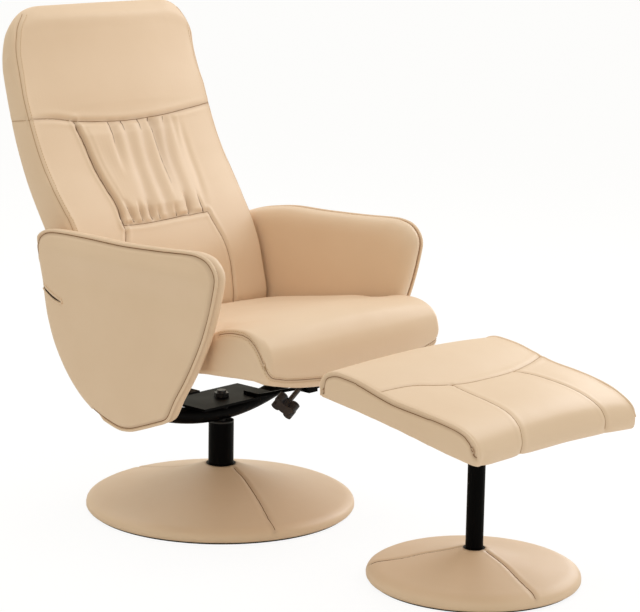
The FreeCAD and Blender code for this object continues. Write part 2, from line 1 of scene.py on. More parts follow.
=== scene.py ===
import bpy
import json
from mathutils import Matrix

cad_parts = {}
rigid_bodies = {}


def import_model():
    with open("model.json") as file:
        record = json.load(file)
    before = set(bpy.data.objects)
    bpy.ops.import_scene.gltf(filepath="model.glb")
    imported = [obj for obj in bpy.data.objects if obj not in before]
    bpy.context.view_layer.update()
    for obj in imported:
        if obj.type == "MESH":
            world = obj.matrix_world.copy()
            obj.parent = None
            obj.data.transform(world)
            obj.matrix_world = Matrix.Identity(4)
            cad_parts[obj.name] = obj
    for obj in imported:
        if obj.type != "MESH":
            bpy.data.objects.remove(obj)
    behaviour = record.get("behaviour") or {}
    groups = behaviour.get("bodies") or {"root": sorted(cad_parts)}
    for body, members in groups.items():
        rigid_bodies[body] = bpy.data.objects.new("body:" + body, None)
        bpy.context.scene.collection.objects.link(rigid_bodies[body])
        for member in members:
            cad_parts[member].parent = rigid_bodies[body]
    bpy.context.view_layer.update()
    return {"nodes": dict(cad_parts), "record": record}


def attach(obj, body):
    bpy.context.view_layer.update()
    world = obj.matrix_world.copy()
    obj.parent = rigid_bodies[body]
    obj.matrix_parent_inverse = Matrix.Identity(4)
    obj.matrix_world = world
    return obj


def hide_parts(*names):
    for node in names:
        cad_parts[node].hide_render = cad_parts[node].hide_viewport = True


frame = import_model()

import bmesh
import bpy
import json
import math
import numpy
from mathutils import Matrix, Vector, kdtree
from mathutils.bvhtree import BVHTree

print("frame loaded:", len(frame["nodes"]), "nodes")


# shader maths on sockets

class Wire:
    def __init__(self, tree, socket):
        self.tree = tree
        self.socket = socket

    def math(self, operation, other, swapped=False):
        node = self.tree.nodes.new("ShaderNodeMath")
        node.operation = operation
        first, second = (1, 0) if swapped else (0, 1)
        self.tree.links.new(self.socket, node.inputs[first])
        if isinstance(other, Wire):
            self.tree.links.new(other.socket, node.inputs[second])
        else:
            node.inputs[second].default_value = other
        return Wire(self.tree, node.outputs[0])

    def __add__(self, other):
        return self.math("ADD", other)

    def __radd__(self, other):
        return self.math("ADD", other, True)

    def __sub__(self, other):
        return self.math("SUBTRACT", other)

    def __rsub__(self, other):
        return self.math("SUBTRACT", other, True)

    def __mul__(self, other):
        return self.math("MULTIPLY", other)

    def __rmul__(self, other):
        return self.math("MULTIPLY", other, True)


class Graph:
    def __init__(self, tree):
        self.tree = tree

    def node(self, kind, settings=None, inputs=None, output=0):
        made = self.tree.nodes.new(kind)
        for key, value in (settings or {}).items():
            setattr(made, key, value)
        for key, value in (inputs or {}).items():
            if isinstance(value, Wire):
                self.tree.links.new(value.socket, made.inputs[key])
            else:
                made.inputs[key].default_value = value
        return Wire(self.tree, made.outputs[output])

    def mixColour(self, factor, first, second):
        return self.node("ShaderNodeMix", {"data_type": "RGBA"}, {0: factor, 6: first, 7: second}, 2)

    def ray(self, kind):
        return self.node("ShaderNodeLightPath", output=kind)


class Finish(Graph):
    def __init__(self, name):
        self.material = bpy.data.materials.new(name)
        self.material.use_nodes = True
        super().__init__(self.material.node_tree)
        self.shader = self.tree.nodes["Principled BSDF"]

    def feed(self, name, value):
        if isinstance(value, Wire):
            self.tree.links.new(value.socket, self.shader.inputs[name])
        else:
            self.shader.inputs[name].default_value = value

    def place(self):
        return self.node("ShaderNodeTexCoord", output=3)

    def noise(self, place, scale, detail=2.0):
        return self.node("ShaderNodeTexNoise", inputs={"Vector": place, "Scale": scale, "Detail": detail})

    def bump(self, height, strength, distance):
        inputs = {"Height": height, "Strength": strength, "Distance": distance}
        self.feed("Normal", self.node("ShaderNodeBump", inputs=inputs))


def linear(red, green, blue):
    def one(value):
        value = value / 255
        return value / 12.92 if value <= 0.04045 else ((value + 0.055) / 1.055) ** 2.4
    return (one(red), one(green), one(blue), 1.0)


# finishes

leatherLook = {
    "light": linear(236, 211, 185),
    "deep": linear(228, 201, 173),
    # seam: the colour of the painted shade that the per-point shade mask mixes in along seam grooves and fold
    # valleys
    "seam": linear(104, 70, 42),
    "grainScale": 620.0,
    "grainDepth": 0.16,
    "roughness": 0.44,
}


def makeLeather(name, look, grainTurn=(0, 0, 0)):
    finish = Finish(name)
    place = finish.node("ShaderNodeMapping", inputs={"Vector": finish.place(), "Rotation": grainTurn})
    cloudy = finish.noise(place, 7.0, 3.0)
    pebble = finish.node("ShaderNodeTexVoronoi", {"feature": "SMOOTH_F1"},
                         {"Vector": place, "Scale": look["grainScale"], "Smoothness": 0.6})
    fine = finish.noise(place, 900.0, 2.0)
    soft = finish.noise(place, 28.0, 2.0)
    # painted shade: a per-point mask darkens the leather towards the seam shade colour in grooves and fold
    # valleys, and roughens it there
    creaseShade = finish.node("ShaderNodeAttribute", {"attribute_name": "creaseShade"}, output=2)
    base = finish.mixColour(cloudy, look["light"], look["deep"])
    worn = finish.mixColour(pebble * 0.1, base, look["deep"])
    finish.feed("Base Color", finish.mixColour(creaseShade, worn, look["seam"]))
    finish.feed("Roughness", look["roughness"] + (soft - 0.5) * 0.1 + creaseShade * 0.3)
    finish.feed("Specular IOR Level", 0.42)
    height = pebble * 0.7 + fine * 0.3 + soft * 0.5
    finish.bump(height, look["grainDepth"], 0.0006)
    return finish.material


def makePaintedSteel(name):
    finish = Finish(name)
    place = finish.place()
    speck = finish.noise(place, 420.0, 2.0)
    cloud = finish.noise(place, 18.0, 3.0)
    finish.feed("Base Color", finish.mixColour(cloud, linear(5, 5, 6), linear(10, 9, 10)))
    finish.feed("Roughness", 0.3 + cloud * 0.16)
    finish.feed("Specular IOR Level", 0.03)
    finish.bump(speck, 0.1, 0.0003)
    return finish.material


def makeKnobPlastic(name):
    finish = Finish(name)
    place = finish.place()
    spark = finish.node("ShaderNodeTexVoronoi", inputs={"Vector": place, "Scale": 900.0})
    cloud = finish.noise(place, 40.0)
    finish.feed("Base Color", finish.mixColour(cloud, linear(20, 19, 26), linear(32, 31, 40)))
    finish.feed("Roughness", 0.46 + cloud * 0.12)
    finish.bump(spark, 0.2, 0.0004)
    return finish.material


def makeZincSteel(name):
    finish = Finish(name)
    place = finish.place()
    streak = finish.noise(place, 160.0, 3.0)
    finish.feed("Base Color", finish.mixColour(streak, linear(64, 64, 67), linear(92, 92, 94)))
    finish.feed("Metallic", 1.0)
    finish.feed("Roughness", 0.26 + streak * 0.2)
    return finish.material


def makePlywood(name):
    finish = Finish(name)
    place = finish.node("ShaderNodeMapping", inputs={"Vector": finish.place(), "Scale": (1.0, 1.0, 14.0)})
    grain = finish.noise(place, 30.0, 5.0)
    finish.feed("Base Color", finish.mixColour(grain, linear(214, 184, 138), linear(176, 138, 92)))
    finish.feed("Roughness", 0.55 + grain * 0.2)
    finish.bump(grain, 0.2, 0.0006)
    return finish.material


def makeMoulded(name, dark, light, roughness):
    finish = Finish(name)
    cloud = finish.noise(finish.place(), 60.0, 3.0)
    finish.feed("Base Color", finish.mixColour(cloud, dark, light))
    finish.feed("Roughness", roughness + cloud * 0.15)
    finish.bump(cloud, 0.1, 0.0005)
    return finish.material


leather = makeLeather("beigeLeatherette", leatherLook)
threadLook = dict(leatherLook, light=linear(214, 182, 140), deep=linear(196, 162, 118), grainScale=1500.0)
thread = makeLeather("beigeThread", threadLook)
# seam lines: the seams' own dark joints deepened with painted groove shade; slitShade and deepSeam also
# colour the dark sheets of painted shadow in the slit and fold openings
seamLine = makeMoulded("seamShade", linear(120, 78, 42), linear(146, 100, 60), 0.6)
paleSeam = makeMoulded("paleSeamShade", linear(168, 132, 96), linear(186, 150, 114), 0.6)
slitShade = makeMoulded("slitShade", linear(40, 26, 14), linear(70, 46, 26), 0.7)
deepSeam = makeMoulded("deepSeamShade", linear(78, 44, 18), linear(102, 64, 32), 0.6)
blackSteel = makePaintedSteel("satinBlackSteel")
knobPlastic = makeKnobPlastic("charcoalKnob")
zincSteel = makeZincSteel("zincSteel")
plywood = makePlywood("rawPlywood")
nylon = makeMoulded("blackNylon", linear(18, 18, 19), linear(28, 28, 29), 0.5)
rubber = makeMoulded("blackRubber", linear(22, 22, 22), linear(36, 36, 36), 0.7)

slotFinish = {
    "leatherette": leather, "black_steel": blackSteel, "plywood": plywood, "rubber_pad": rubber,
    "nylon": nylon, "knob_plastic": knobPlastic, "zinc_steel": zincSteel,
}
for part in frame["record"]["subparts"]:
    cadNode = bpy.data.objects[part["node"]]
    cadNode.data.materials.clear()
    cadNode.data.materials.append(slotFinish[part["material_slot"]])
print("finishes made:", len(slotFinish))


# camera, light and floor

cameraSetup = {
    "turn": 0.786058, "yaw": 0.043523, "pitch": 0.204347, "roll": 0.017461,
    "distance": 4.37665, "height": 1.3126, "focalPixels": 2292.69, "frameWidth": 640,
}


def placeCamera(setup):
    camera = bpy.data.cameras.new("camera")
    holder = bpy.data.objects.new("camera", camera)
    bpy.context.scene.collection.objects.link(holder)
    heading = setup["turn"] + setup["yaw"]
    pitch, roll = setup["pitch"], setup["roll"]
    level = Vector((math.sin(heading), math.cos(heading), 0)) * math.cos(pitch)
    ahead = level - Vector((0, 0, math.sin(pitch)))
    right = Vector((math.cos(heading), -math.sin(heading), 0))
    up = right.cross(ahead)
    right, up = right * math.cos(roll) + up * math.sin(roll), up * math.cos(roll) - right * math.sin(roll)
    turn = Matrix((right, up, -ahead)).transposed()
    spot = Vector((-math.sin(setup["turn"]) * setup["distance"], -math.cos(setup["turn"]) * setup["distance"],
                   setup["height"]))
    holder.matrix_world = Matrix.Translation(spot) @ turn.to_4x4()
    camera.sensor_width = 36.0
    camera.lens = setup["focalPixels"] / setup["frameWidth"] * camera.sensor_width
    camera.clip_start, camera.clip_end = 0.05, 60
    bpy.context.scene.camera = holder


studio = {
    "worldStrength": 0.64, "worldTint": (1.0, 0.947, 0.795, 1.0), "lampTint": (0.94, 0.955, 1.0),
    "glossyShare": 0.75, "aim": (0, -0.2, 0.4), "floorReach": 14.0, "floorSeen": 0.86, "floorGlow": 1.04,
    "lamps": (
        ("overheadLamp", (0.0, 0.1, 3.6), 2.6, 27.0),
        ("rightLamp", (2.7, -0.5, 2.2), 1.8, 28.0),
        ("frontLamp", (0.6, -3.2, 2.6), 1.6, 6.0),
        ("lowLamp", (1.5, -0.2, 0.55), 0.6, 3.0),
        ("rearLamp", (0.6, 2.8, 2.8), 2.2, 12.0),
    ),
}


def lightStudio(setup):
    world = bpy.data.worlds.new("studioWorld")
    bpy.context.scene.world = world
    world.use_nodes = True
    graph = Graph(world.node_tree)
    background = graph.tree.nodes["Background"]
    seen = graph.ray("Is Camera Ray") + graph.ray("Is Transmission Ray")
    seen = seen + graph.ray("Is Glossy Ray") * setup["glossyShare"]
    strength = seen.math("MINIMUM", 1.0) * (1 - setup["worldStrength"]) + setup["worldStrength"]
    graph.tree.links.new(strength.socket, background.inputs["Strength"])
    tint = graph.mixColour(graph.ray("Is Camera Ray"), setup["worldTint"], (1, 1, 1, 1))
    graph.tree.links.new(tint.socket, background.inputs["Color"])
    for name, spot, size, power in setup["lamps"]:
        lamp = bpy.data.lights.new(name, "AREA")
        lamp.size, lamp.energy, lamp.color = size, power, setup["lampTint"]
        holder = bpy.data.objects.new(name, lamp)
        holder.location = spot
        holder.rotation_euler = (Vector(setup["aim"]) - Vector(spot)).to_track_quat("-Z", "Y").to_euler()
        bpy.context.scene.collection.objects.link(holder)


def layFloor(setup):
    finish = Finish("paleFloor")
    finish.feed("Base Color", linear(250, 250, 250))
    finish.feed("Roughness", 0.9)
    glow = finish.node("ShaderNodeEmission", inputs={"Strength": setup["floorGlow"]})
    plain = Wire(finish.tree, finish.shader.outputs[0])
    seen = finish.ray("Is Camera Ray") * setup["floorSeen"]
    mixed = finish.node("ShaderNodeMixShader", inputs={0: seen, 1: plain, 2: glow})
    finish.tree.links.new(mixed.socket, finish.tree.nodes["Material Output"].inputs[0])
    mesh = bpy.data.meshes.new("floor")
    reach = setup["floorReach"]
    corners = [(-reach, -reach, 0), (reach, -reach, 0), (reach, reach, 0), (-reach, reach, 0)]
    mesh.from_pydata(corners, [], [(0, 1, 2, 3)])
    mesh.materials.append(finish.material)
    floor = bpy.data.objects.new("floor", mesh)
    bpy.context.scene.collection.objects.link(floor)


bpy.context.scene.view_settings.view_transform = "Standard"
placeCamera(cameraSetup)
lightStudio(studio)
layFloor(studio)
print("camera, lamps and floor placed")


# soft forms

def evenLoop(points, count):
    # closed smooth line through the points, then evenly spaced along its length
    dense = []
    size = len(points)
    for index in range(size):
        a, b, c, d = (Vector(points[(index + shift) % size]) for shift in (-1, 0, 1, 2))
        pull = 0.5
        for step in range(16):
            t = step / 16
            tangentB = (c - a) * pull * min(1.0, (c - b).length / max((b - a).length, 1e-6))
            tangentC = (d - b) * pull * min(1.0, (c - b).length / max((d - c).length, 1e-6))
            dense.append(b * (2 * t ** 3 - 3 * t ** 2 + 1) + tangentB * (t ** 3 - 2 * t ** 2 + t)
                         + c * (3 * t ** 2 - 2 * t ** 3) + tangentC * (t ** 3 - t ** 2))
    return evenLine(dense + [dense[0]], count + 1)[:-1]


def evenLine(points, count):
    reach = [0.0]
    for before, after in zip(points, points[1:]):
        reach.append(reach[-1] + (after - before).length)
    made = []
    index = 0
    for step in range(count):
        want = reach[-1] * step / (count - 1)
        while index < len(points) - 2 and reach[index + 1] < want:
            index += 1
        span = max(reach[index + 1] - reach[index], 1e-9)
        made.append(points[index].lerp(points[index + 1], min(1.0, (want - reach[index]) / span)))
    return made


def drawnIn(ring, inset):
    # moves a closed outline in along its own normals
    if inset <= 0:
        return ring
    area = sum(a.x * b.y - b.x * a.y for a, b in zip(ring, ring[1:] + ring[:1]))
    side = 1 if area > 0 else -1
    moved = []
    for index, point in enumerate(ring):
        way = ring[(index + 3) % len(ring)] - ring[index - 3]
        normal = Vector((-way.y, way.x)) * side
        moved.append(point + normal.normalized() * inset)
    return moved


def newPiece(name, vertices, faces, finish, smooth=True):
    mesh = bpy.data.meshes.new(name)
    mesh.from_pydata([tuple(v) for v in vertices], [], faces)
    mesh.validate()
    if smooth:
        mesh.polygons.foreach_set("use_smooth", [True] * len(mesh.polygons))
    mesh.materials.append(finish)
    piece = bpy.data.objects.new(name, mesh)
    bpy.context.scene.collection.objects.link(piece)
    return piece


def stationsAcross(low, high, edge, across, turns=7):
    # places along x, closer together where the edges round over
    inner = [low + edge + (high - low - 2 * edge) * step / across for step in range(across + 1)]
    bend = [edge * (1 - math.cos(math.pi / 2 * step / turns)) for step in range(turns)]
    return [low + b for b in bend] + inner + [high - b for b in reversed(bend)]


def edgeInset(x, low, high, edge):
    depth = max(low + edge - x, x - (high - edge), 0.0)
    return edge - math.sqrt(max(edge ** 2 - depth ** 2, 0.0))


def ringFaces(rows, around):
    faces = []
    for row in range(rows - 1):
        for k in range(around):
            a = row * around + k
            b = row * around + (k + 1) % around
            faces.append((a, b, b + around, a + around))
    return faces


def loftPiece(name, ringAt, shape, finish, capRows=14):
    # rings across x joined into a skin, with a padded cap at each end
    low, high, edge = -shape["halfWidth"], shape["halfWidth"], shape["edge"]
    around, across, bulge = shape["around"], shape["across"], shape["capPuff"]
    vertices = []
    places = stationsAcross(low, high, edge, across)
    for x in places:
        ring = drawnIn(evenLoop(ringAt(x), around), edgeInset(x, low, high, edge))
        vertices += [(x, p.x, p.y) for p in ring]
    faces = ringFaces(len(places), around)
    half = around // 2
    for end, side in ((0, -1), (len(places) - 1, 1)):
        start = end * around
        rows = []
        for k in range(half):
            first, last = start + k, start + around - 1 - k
            p, q = Vector(vertices[first]), Vector(vertices[last])
            line = [first]
            fade = math.sin(math.pi * (k + 0.5) / half) ** 0.4
            for step in range(1, capRows):
                t = step / capRows
                line.append(len(vertices))
                puff = bulge * fade * math.sin(math.pi * t) ** 0.6
                vertices.append(tuple(p.lerp(q, t) + Vector((side * puff, 0, 0))))
            rows.append(line + [last])
        for above, below in zip(rows, rows[1:]):
            for step in range(capRows):
                quad = (above[step], above[step + 1], below[step + 1], below[step])
                faces.append(quad if side > 0 else quad[::-1])
    piece = newPiece(name, vertices, faces, finish)
    turnOut(piece)
    return piece


def turnOut(piece):
    work = bmesh.new()
    work.from_mesh(piece.data)
    bmesh.ops.remove_doubles(work, verts=work.verts, dist=1e-6)
    bmesh.ops.recalc_face_normals(work, faces=work.faces)
    work.to_mesh(piece.data)
    work.free()


def surfaceOf(piece):
    mesh = piece.data
    return BVHTree.FromPolygons([v.co for v in mesh.vertices], [p.vertices for p in mesh.polygons])


def smoothPath(points, spacing):
    # open smooth line through the points
    points = [Vector(p) for p in points]
    dense = []
    for index in range(len(points) - 1):
        b, c = points[index], points[index + 1]
        a = points[index - 1] if index else b * 2 - c
        d = points[index + 2] if index + 2 < len(points) else c * 2 - b
        for step in range(12):
            t = step / 12
            dense.append(0.5 * (2 * b + (c - a) * t + (2 * a - 5 * b + 4 * c - d) * t ** 2
                                + (3 * b - a - 3 * c + d) * t ** 3))
    dense.append(points[-1])
    length = sum((q - p).length for p, q in zip(dense, dense[1:]))
    return evenLine(dense, max(3, int(length / spacing)))


def readSkin(piece):
    count = len(piece.data.vertices)
    places = numpy.empty(count * 3)
    normals = numpy.empty(count * 3)
    piece.data.vertices.foreach_get("co", places)
    piece.data.vertices.foreach_get("normal", normals)
    return places.reshape(-1, 3), normals.reshape(-1, 3)


def writeSkin(piece, places):
    piece.data.vertices.foreach_set("co", places.ravel())
    piece.data.update()


def awayFrom(places, path):
    # distance of each place from a path of straight runs
    nearest = numpy.full(len(places), 1e9)
    for start, end in zip(path, path[1:]):
        run = end - start
        share = numpy.clip((places - start) @ run / max(run @ run, 1e-12), 0, 1)
        nearest = numpy.minimum(nearest, numpy.linalg.norm(places - start - share[:, None] * run, axis=1))
    return nearest


def pressSeams(piece, seams):
    # sinks the skin along each seam, lifts it a little beside it, and paints a dark line of shade along the
    # groove
    places, normals = readSkin(piece)
    moves = numpy.zeros(len(places))
    paintedShade = numpy.zeros(len(places))
    creaseShade = piece.data.attributes.get("creaseShade") or piece.data.attributes.new("creaseShade", "FLOAT", "POINT")
    creaseShade.data.foreach_get("value", paintedShade)
    for seam in seams:
        path = numpy.array([tuple(point) for point in seam["path"]])
        width, depth = seam.get("width", 0.006), seam.get("depth", 0.004)
        lift, dark, line = seam.get("lift", 0.25), seam.get("dark", 0.4), seam.get("line", 0.0035)
        reach = width * 4
        near = numpy.all((places > path.min(0) - reach) & (places < path.max(0) + reach), axis=1)
        away = awayFrom(places[near], path)
        groove = numpy.exp(-(away / width) ** 2)
        shoulder = numpy.exp(-((away - 2 * width) / width) ** 2)
        ends = numpy.minimum(numpy.linalg.norm(places[near] - path[0], axis=1),
                             numpy.linalg.norm(places[near] - path[-1], axis=1))
        fade = numpy.clip(ends / seam.get("taper", 1e-6), 0.2, 1)
        moves[near] -= depth * fade * (groove - lift * shoulder)
        # painted shade along the groove, kept in the per-point shade mask
        paintedShade[near] = numpy.maximum(paintedShade[near], dark * numpy.exp(-(away / line) ** 2))
    creaseShade.data.foreach_set("value", paintedShade)
    writeSkin(piece, places + normals * moves[:, None])


def swell(piece, settings, seams):
    # soft filling: a coarse copy is blown up as cloth between its sewn lines, and its movement
    # is handed to the fine skin
    scene = bpy.context.scene
    copy = bpy.data.objects.new(piece.name + "Cloth", piece.data.copy())
    scene.collection.objects.link(copy)
    remesh = copy.modifiers.new("remesh", "REMESH")
    remesh.mode, remesh.voxel_size = "VOXEL", settings["voxel"]
    coarse = bpy.data.meshes.new_from_object(copy.evaluated_get(bpy.context.evaluated_depsgraph_get()))
    copy.modifiers.clear()
    copy.data = coarse
    before, outward = readSkin(copy)
    apart = numpy.full(len(before), 1e9)
    for seam in seams:
        apart = numpy.minimum(apart, awayFrom(before, numpy.array([tuple(point) for point in seam])))
    held = copy.vertex_groups.new(name="sewn")
    held.add([int(k) for k in numpy.nonzero(apart < settings["hold"])[0]], 1.0, "REPLACE")
    cloth = copy.modifiers.new("cloth", "CLOTH")
    cloth.settings.vertex_group_mass = "sewn"
    cloth.settings.use_pressure = True
    cloth.settings.uniform_pressure_force = settings["pressure"]
    cloth.settings.effector_weights.gravity = 0
    cloth.settings.quality = 4
    cloth.collision_settings.use_collision = False
    cloth.point_cache.frame_start, cloth.point_cache.frame_end = 1, settings["frames"]
    for step in range(1, settings["frames"] + 1):
        scene.frame_set(step)
    blown = copy.evaluated_get(bpy.context.evaluated_depsgraph_get()).data
    after = numpy.empty(len(before) * 3)
    blown.vertices.foreach_get("co", after)
    after = after.reshape(-1, 3)
    puff = numpy.clip(((after - before) * outward).sum(axis=1), 0, settings["cap"])
    edges = numpy.empty(len(coarse.edges) * 2, dtype=int)
    coarse.edges.foreach_get("vertices", edges)
    first, second = edges.reshape(-1, 2).T
    meeting = numpy.bincount(edges, minlength=len(before))
    for _ in range(settings["smooth"]):
        around = numpy.bincount(first, puff[second], len(before))
        around = around + numpy.bincount(second, puff[first], len(before))
        puff = 0.5 * puff + 0.5 * around / meeting
    tree = kdtree.KDTree(len(before))
    for index, place in enumerate(before):
        tree.insert(place, index)
    tree.balance()
    places, normals = readSkin(piece)
    lift = numpy.empty(len(places))
    for index, place in enumerate(places):
        found = tree.find_n(place, 10)
        shares = numpy.array([1 / (away + 0.003) ** 2 for _, _, away in found])
        lift[index] = shares @ puff[[near for _, near, _ in found]] / shares.sum()
    writeSkin(piece, places + normals * (lift - settings["startSmaller"])[:, None])
    bpy.data.objects.remove(copy)
    scene.frame_set(1)
    print("swelled", piece.name, "by", round(float(puff.mean()), 4), "up to", round(float(puff.max()), 4))


# sewing: piping and stitches that follow a path

def gear(tree, kind, settings=None, inputs=None):
    made = tree.nodes.new(kind)
    for key, value in (settings or {}).items():
        setattr(made, key, value)
    for key, value in (inputs or {}).items():
        if isinstance(value, bpy.types.NodeSocket):
            tree.links.new(value, made.inputs[key])
        else:
            made.inputs[key].default_value = value
    return made


def openTree(name, sizes):
    tree = bpy.data.node_groups.new(name, "GeometryNodeTree")
    tree.interface.new_socket("Geometry", in_out="INPUT", socket_type="NodeSocketGeometry")
    names = {}
    for label, usual in sizes.items():
        socket = tree.interface.new_socket(label, in_out="INPUT", socket_type="NodeSocketFloat")
        socket.default_value = usual
        names[label] = socket.identifier
    finish = tree.interface.new_socket("Finish", in_out="INPUT", socket_type="NodeSocketMaterial")
    names["Finish"] = finish.identifier
    tree.interface.new_socket("Geometry", in_out="OUTPUT", socket_type="NodeSocketGeometry")
    start = gear(tree, "NodeGroupInput").outputs
    line = gear(tree, "GeometryNodeMeshToCurve", inputs={0: start["Geometry"]}).outputs[0]
    return tree, names, start, line


def closeTree(tree, start, shape):
    smooth = gear(tree, "GeometryNodeSetShadeSmooth", inputs={0: shape}).outputs[0]
    real = gear(tree, "GeometryNodeRealizeInstances", inputs={0: smooth}).outputs[0]
    done = gear(tree, "GeometryNodeSetMaterial", inputs={0: real, "Material": start["Finish"]}).outputs[0]
    gear(tree, "NodeGroupOutput", inputs={0: done})


def makePipingTree():
    tree, names, start, line = openTree("piping", {"Radius": 0.0026, "Spacing": 0.005})
    even = gear(tree, "GeometryNodeResampleCurve", {"mode": "LENGTH"}, {0: line, "Length": start["Spacing"]})
    ring = gear(tree, "GeometryNodeCurvePrimitiveCircle", inputs={"Resolution": 8, "Radius": start["Radius"]})
    tube = gear(tree, "GeometryNodeCurveToMesh",
                inputs={0: even.outputs[0], 1: ring.outputs[0], "Fill Caps": True})
    closeTree(tree, start, tube.outputs[0])
    return tree, names


def makeStitchTree():
    tree, names, start, line = openTree("stitches", {"Radius": 0.0006, "Length": 0.0042, "Pitch": 0.0056})
    spots = gear(tree, "GeometryNodeCurveToPoints", {"mode": "LENGTH"}, {0: line, "Length": start["Pitch"]})
    bead = gear(tree, "GeometryNodeMeshUVSphere", inputs={"Segments": 6, "Rings": 4, "Radius": 1.0})
    half = gear(tree, "ShaderNodeMath", {"operation": "MULTIPLY"}, {0: start["Length"], 1: 0.5})
    radius = start["Radius"]
    size = gear(tree, "ShaderNodeCombineXYZ", inputs={0: radius, 1: radius, 2: half.outputs[0]})
    placed = gear(tree, "GeometryNodeInstanceOnPoints", inputs={
        "Points": spots.outputs["Points"], "Instance": bead.outputs[0],
        "Rotation": spots.outputs["Rotation"], "Scale": size.outputs[0]})
    closeTree(tree, start, placed.outputs[0])
    return tree, names


sewingTrees = {"piping": makePipingTree(), "stitches": makeStitchTree()}


def sew(name, kind, paths, values):
    tree, names = sewingTrees[kind]
    vertices = []
    edges = []
    for path in paths:
        first = len(vertices)
        vertices += [tuple(point) for point in path]
        edges += [(first + k, first + k + 1) for k in range(len(path) - 1)]
    guide = bpy.data.meshes.new(name + "Guide")
    guide.from_pydata(vertices, edges, [])
    holder = bpy.data.objects.new(name + "Guide", guide)
    bpy.context.scene.collection.objects.link(holder)
    modifier = holder.modifiers.new("sewing", "NODES")
    modifier.node_group = tree
    for label, value in values.items():
        modifier[names[label]] = value
    done = bpy.data.meshes.new_from_object(holder.evaluated_get(bpy.context.evaluated_depsgraph_get()))
    bpy.data.objects.remove(holder)
    piece = bpy.data.objects.new(name, done)
    bpy.context.scene.collection.objects.link(piece)
    return piece


def layOn(surface, points, lift=0.0, spacing=0.004):
    # brings a rough path onto the skin
    laid = []
    for point in smoothPath(points, spacing):
        spot, normal, _, _ = surface.find_nearest(point)
        laid.append(spot + normal * lift)
    return laid


def inGroove(before, after, path, depth, lift=-0.0001):
    # the sewn line at the bottom of a pressed seam
    line = []
    for point in path:
        start = point - before.find_nearest(point)[1] * depth * 0.85
        spot, normal, _, _ = after.find_nearest(start)
        line.append(spot + normal * lift)
    return line


def flipped(points):
    return [(-x, y, z) for x, y, z in points]


def beside(surface, path, away, lift=0.0):
    # a row that runs beside a path, on the same skin
    row = []
    for index, point in enumerate(path):
        way = path[min(index + 1, len(path) - 1)] - path[max(index - 1, 0)]
        normal = surface.find_nearest(point)[1]
        spot, normal, _, _ = surface.find_nearest(point + way.cross(normal).normalized() * away)
        row.append(spot + normal * lift)
    return row


seamLook = {"Radius": 0.0006, "Spacing": 0.004}
stitchLook = {"Radius": 0.0006, "Length": 0.0042, "Pitch": 0.0056}


def dressPiece(piece, body, replaced=()):
    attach(piece, body)
    if replaced:
        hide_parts(*replaced)


def leaves(name, surface, paths, finish, lift=0.0003):
    # dark sheets of painted shadow laid on the skin in openings, wide at their start and narrowing to nothing
    vertices = []
    faces = []
    for spots, width in paths:
        path = layOn(surface, spots, spacing=0.003)
        first = len(vertices)
        for index, point in enumerate(path):
            way = path[min(index + 1, len(path) - 1)] - path[max(index - 1, 0)]
            normal = surface.find_nearest(point)[1]
            half = way.cross(normal).normalized() * width / 2 * (1 - index / (len(path) - 1)) ** 0.7
            vertices += [tuple(point + normal * lift + half), tuple(point + normal * lift - half)]
        faces += [(k, k + 1, k + 3, k + 2) for k in range(first, len(vertices) - 2, 2)]
    return newPiece(name, vertices, faces, finish)


paddingCloth = {
    "voxel": 0.008, "pressure": 4.0, "frames": 20, "cap": 0.007, "startSmaller": 0.001, "hold": 0.009,
    "smooth": 24,
}

# seat

seatShape = {
    "halfWidth": 0.238, "edge": 0.012, "crown": 0.007, "around": 330, "across": 150, "capPuff": 0.003,
    "top": (
        (0.093, 0.3705), (0.02, 0.385), (-0.095, 0.4045), (-0.2, 0.4225), (-0.262, 0.4325), (-0.3, 0.4335),
        (-0.33, 0.4255), (-0.349, 0.41), (-0.3565, 0.39),
    ),
    # height at the corners, and the share of the drop towards the middle
    "lip": (
        (-0.357, 0.372, 0.45), (-0.3535, 0.358, 0.8), (-0.345, 0.3485, 1.0), (-0.334, 0.3465, 1.0),
        (-0.322, 0.3462, 0.62), (-0.308, 0.3455, 0.15),
    ),
    "lipDrop": 0.03, "lipSag": 0.92,
    "bottom": ((-0.2, 0.338), (-0.05, 0.3275), (0.088, 0.317)),
    "rear": ((0.097, 0.326), (0.097, 0.345), (0.0965, 0.362)),
}


def seatRing(x):
    share = abs(x) / seatShape["halfWidth"]
    crown = seatShape["crown"] * (1 - share ** 2)
    top = [(y, z + crown) for y, z in seatShape["top"][:7]]
    top += [(y - crown * 0.5, z) for y, z in seatShape["top"][7:]]
    drop = seatShape["lipDrop"] * (1 - seatShape["lipSag"] * share ** 2)
    lip = [(y - crown * 0.5, z - drop * amount) for y, z, amount in seatShape["lip"]]
    start = [seatShape["rear"][1], seatShape["rear"][2]]
    return start + top + lip + list(seatShape["bottom"]) + [seatShape["rear"][0]]


seat = loftPiece("seatPad", seatRing, seatShape, leather)


# backrest

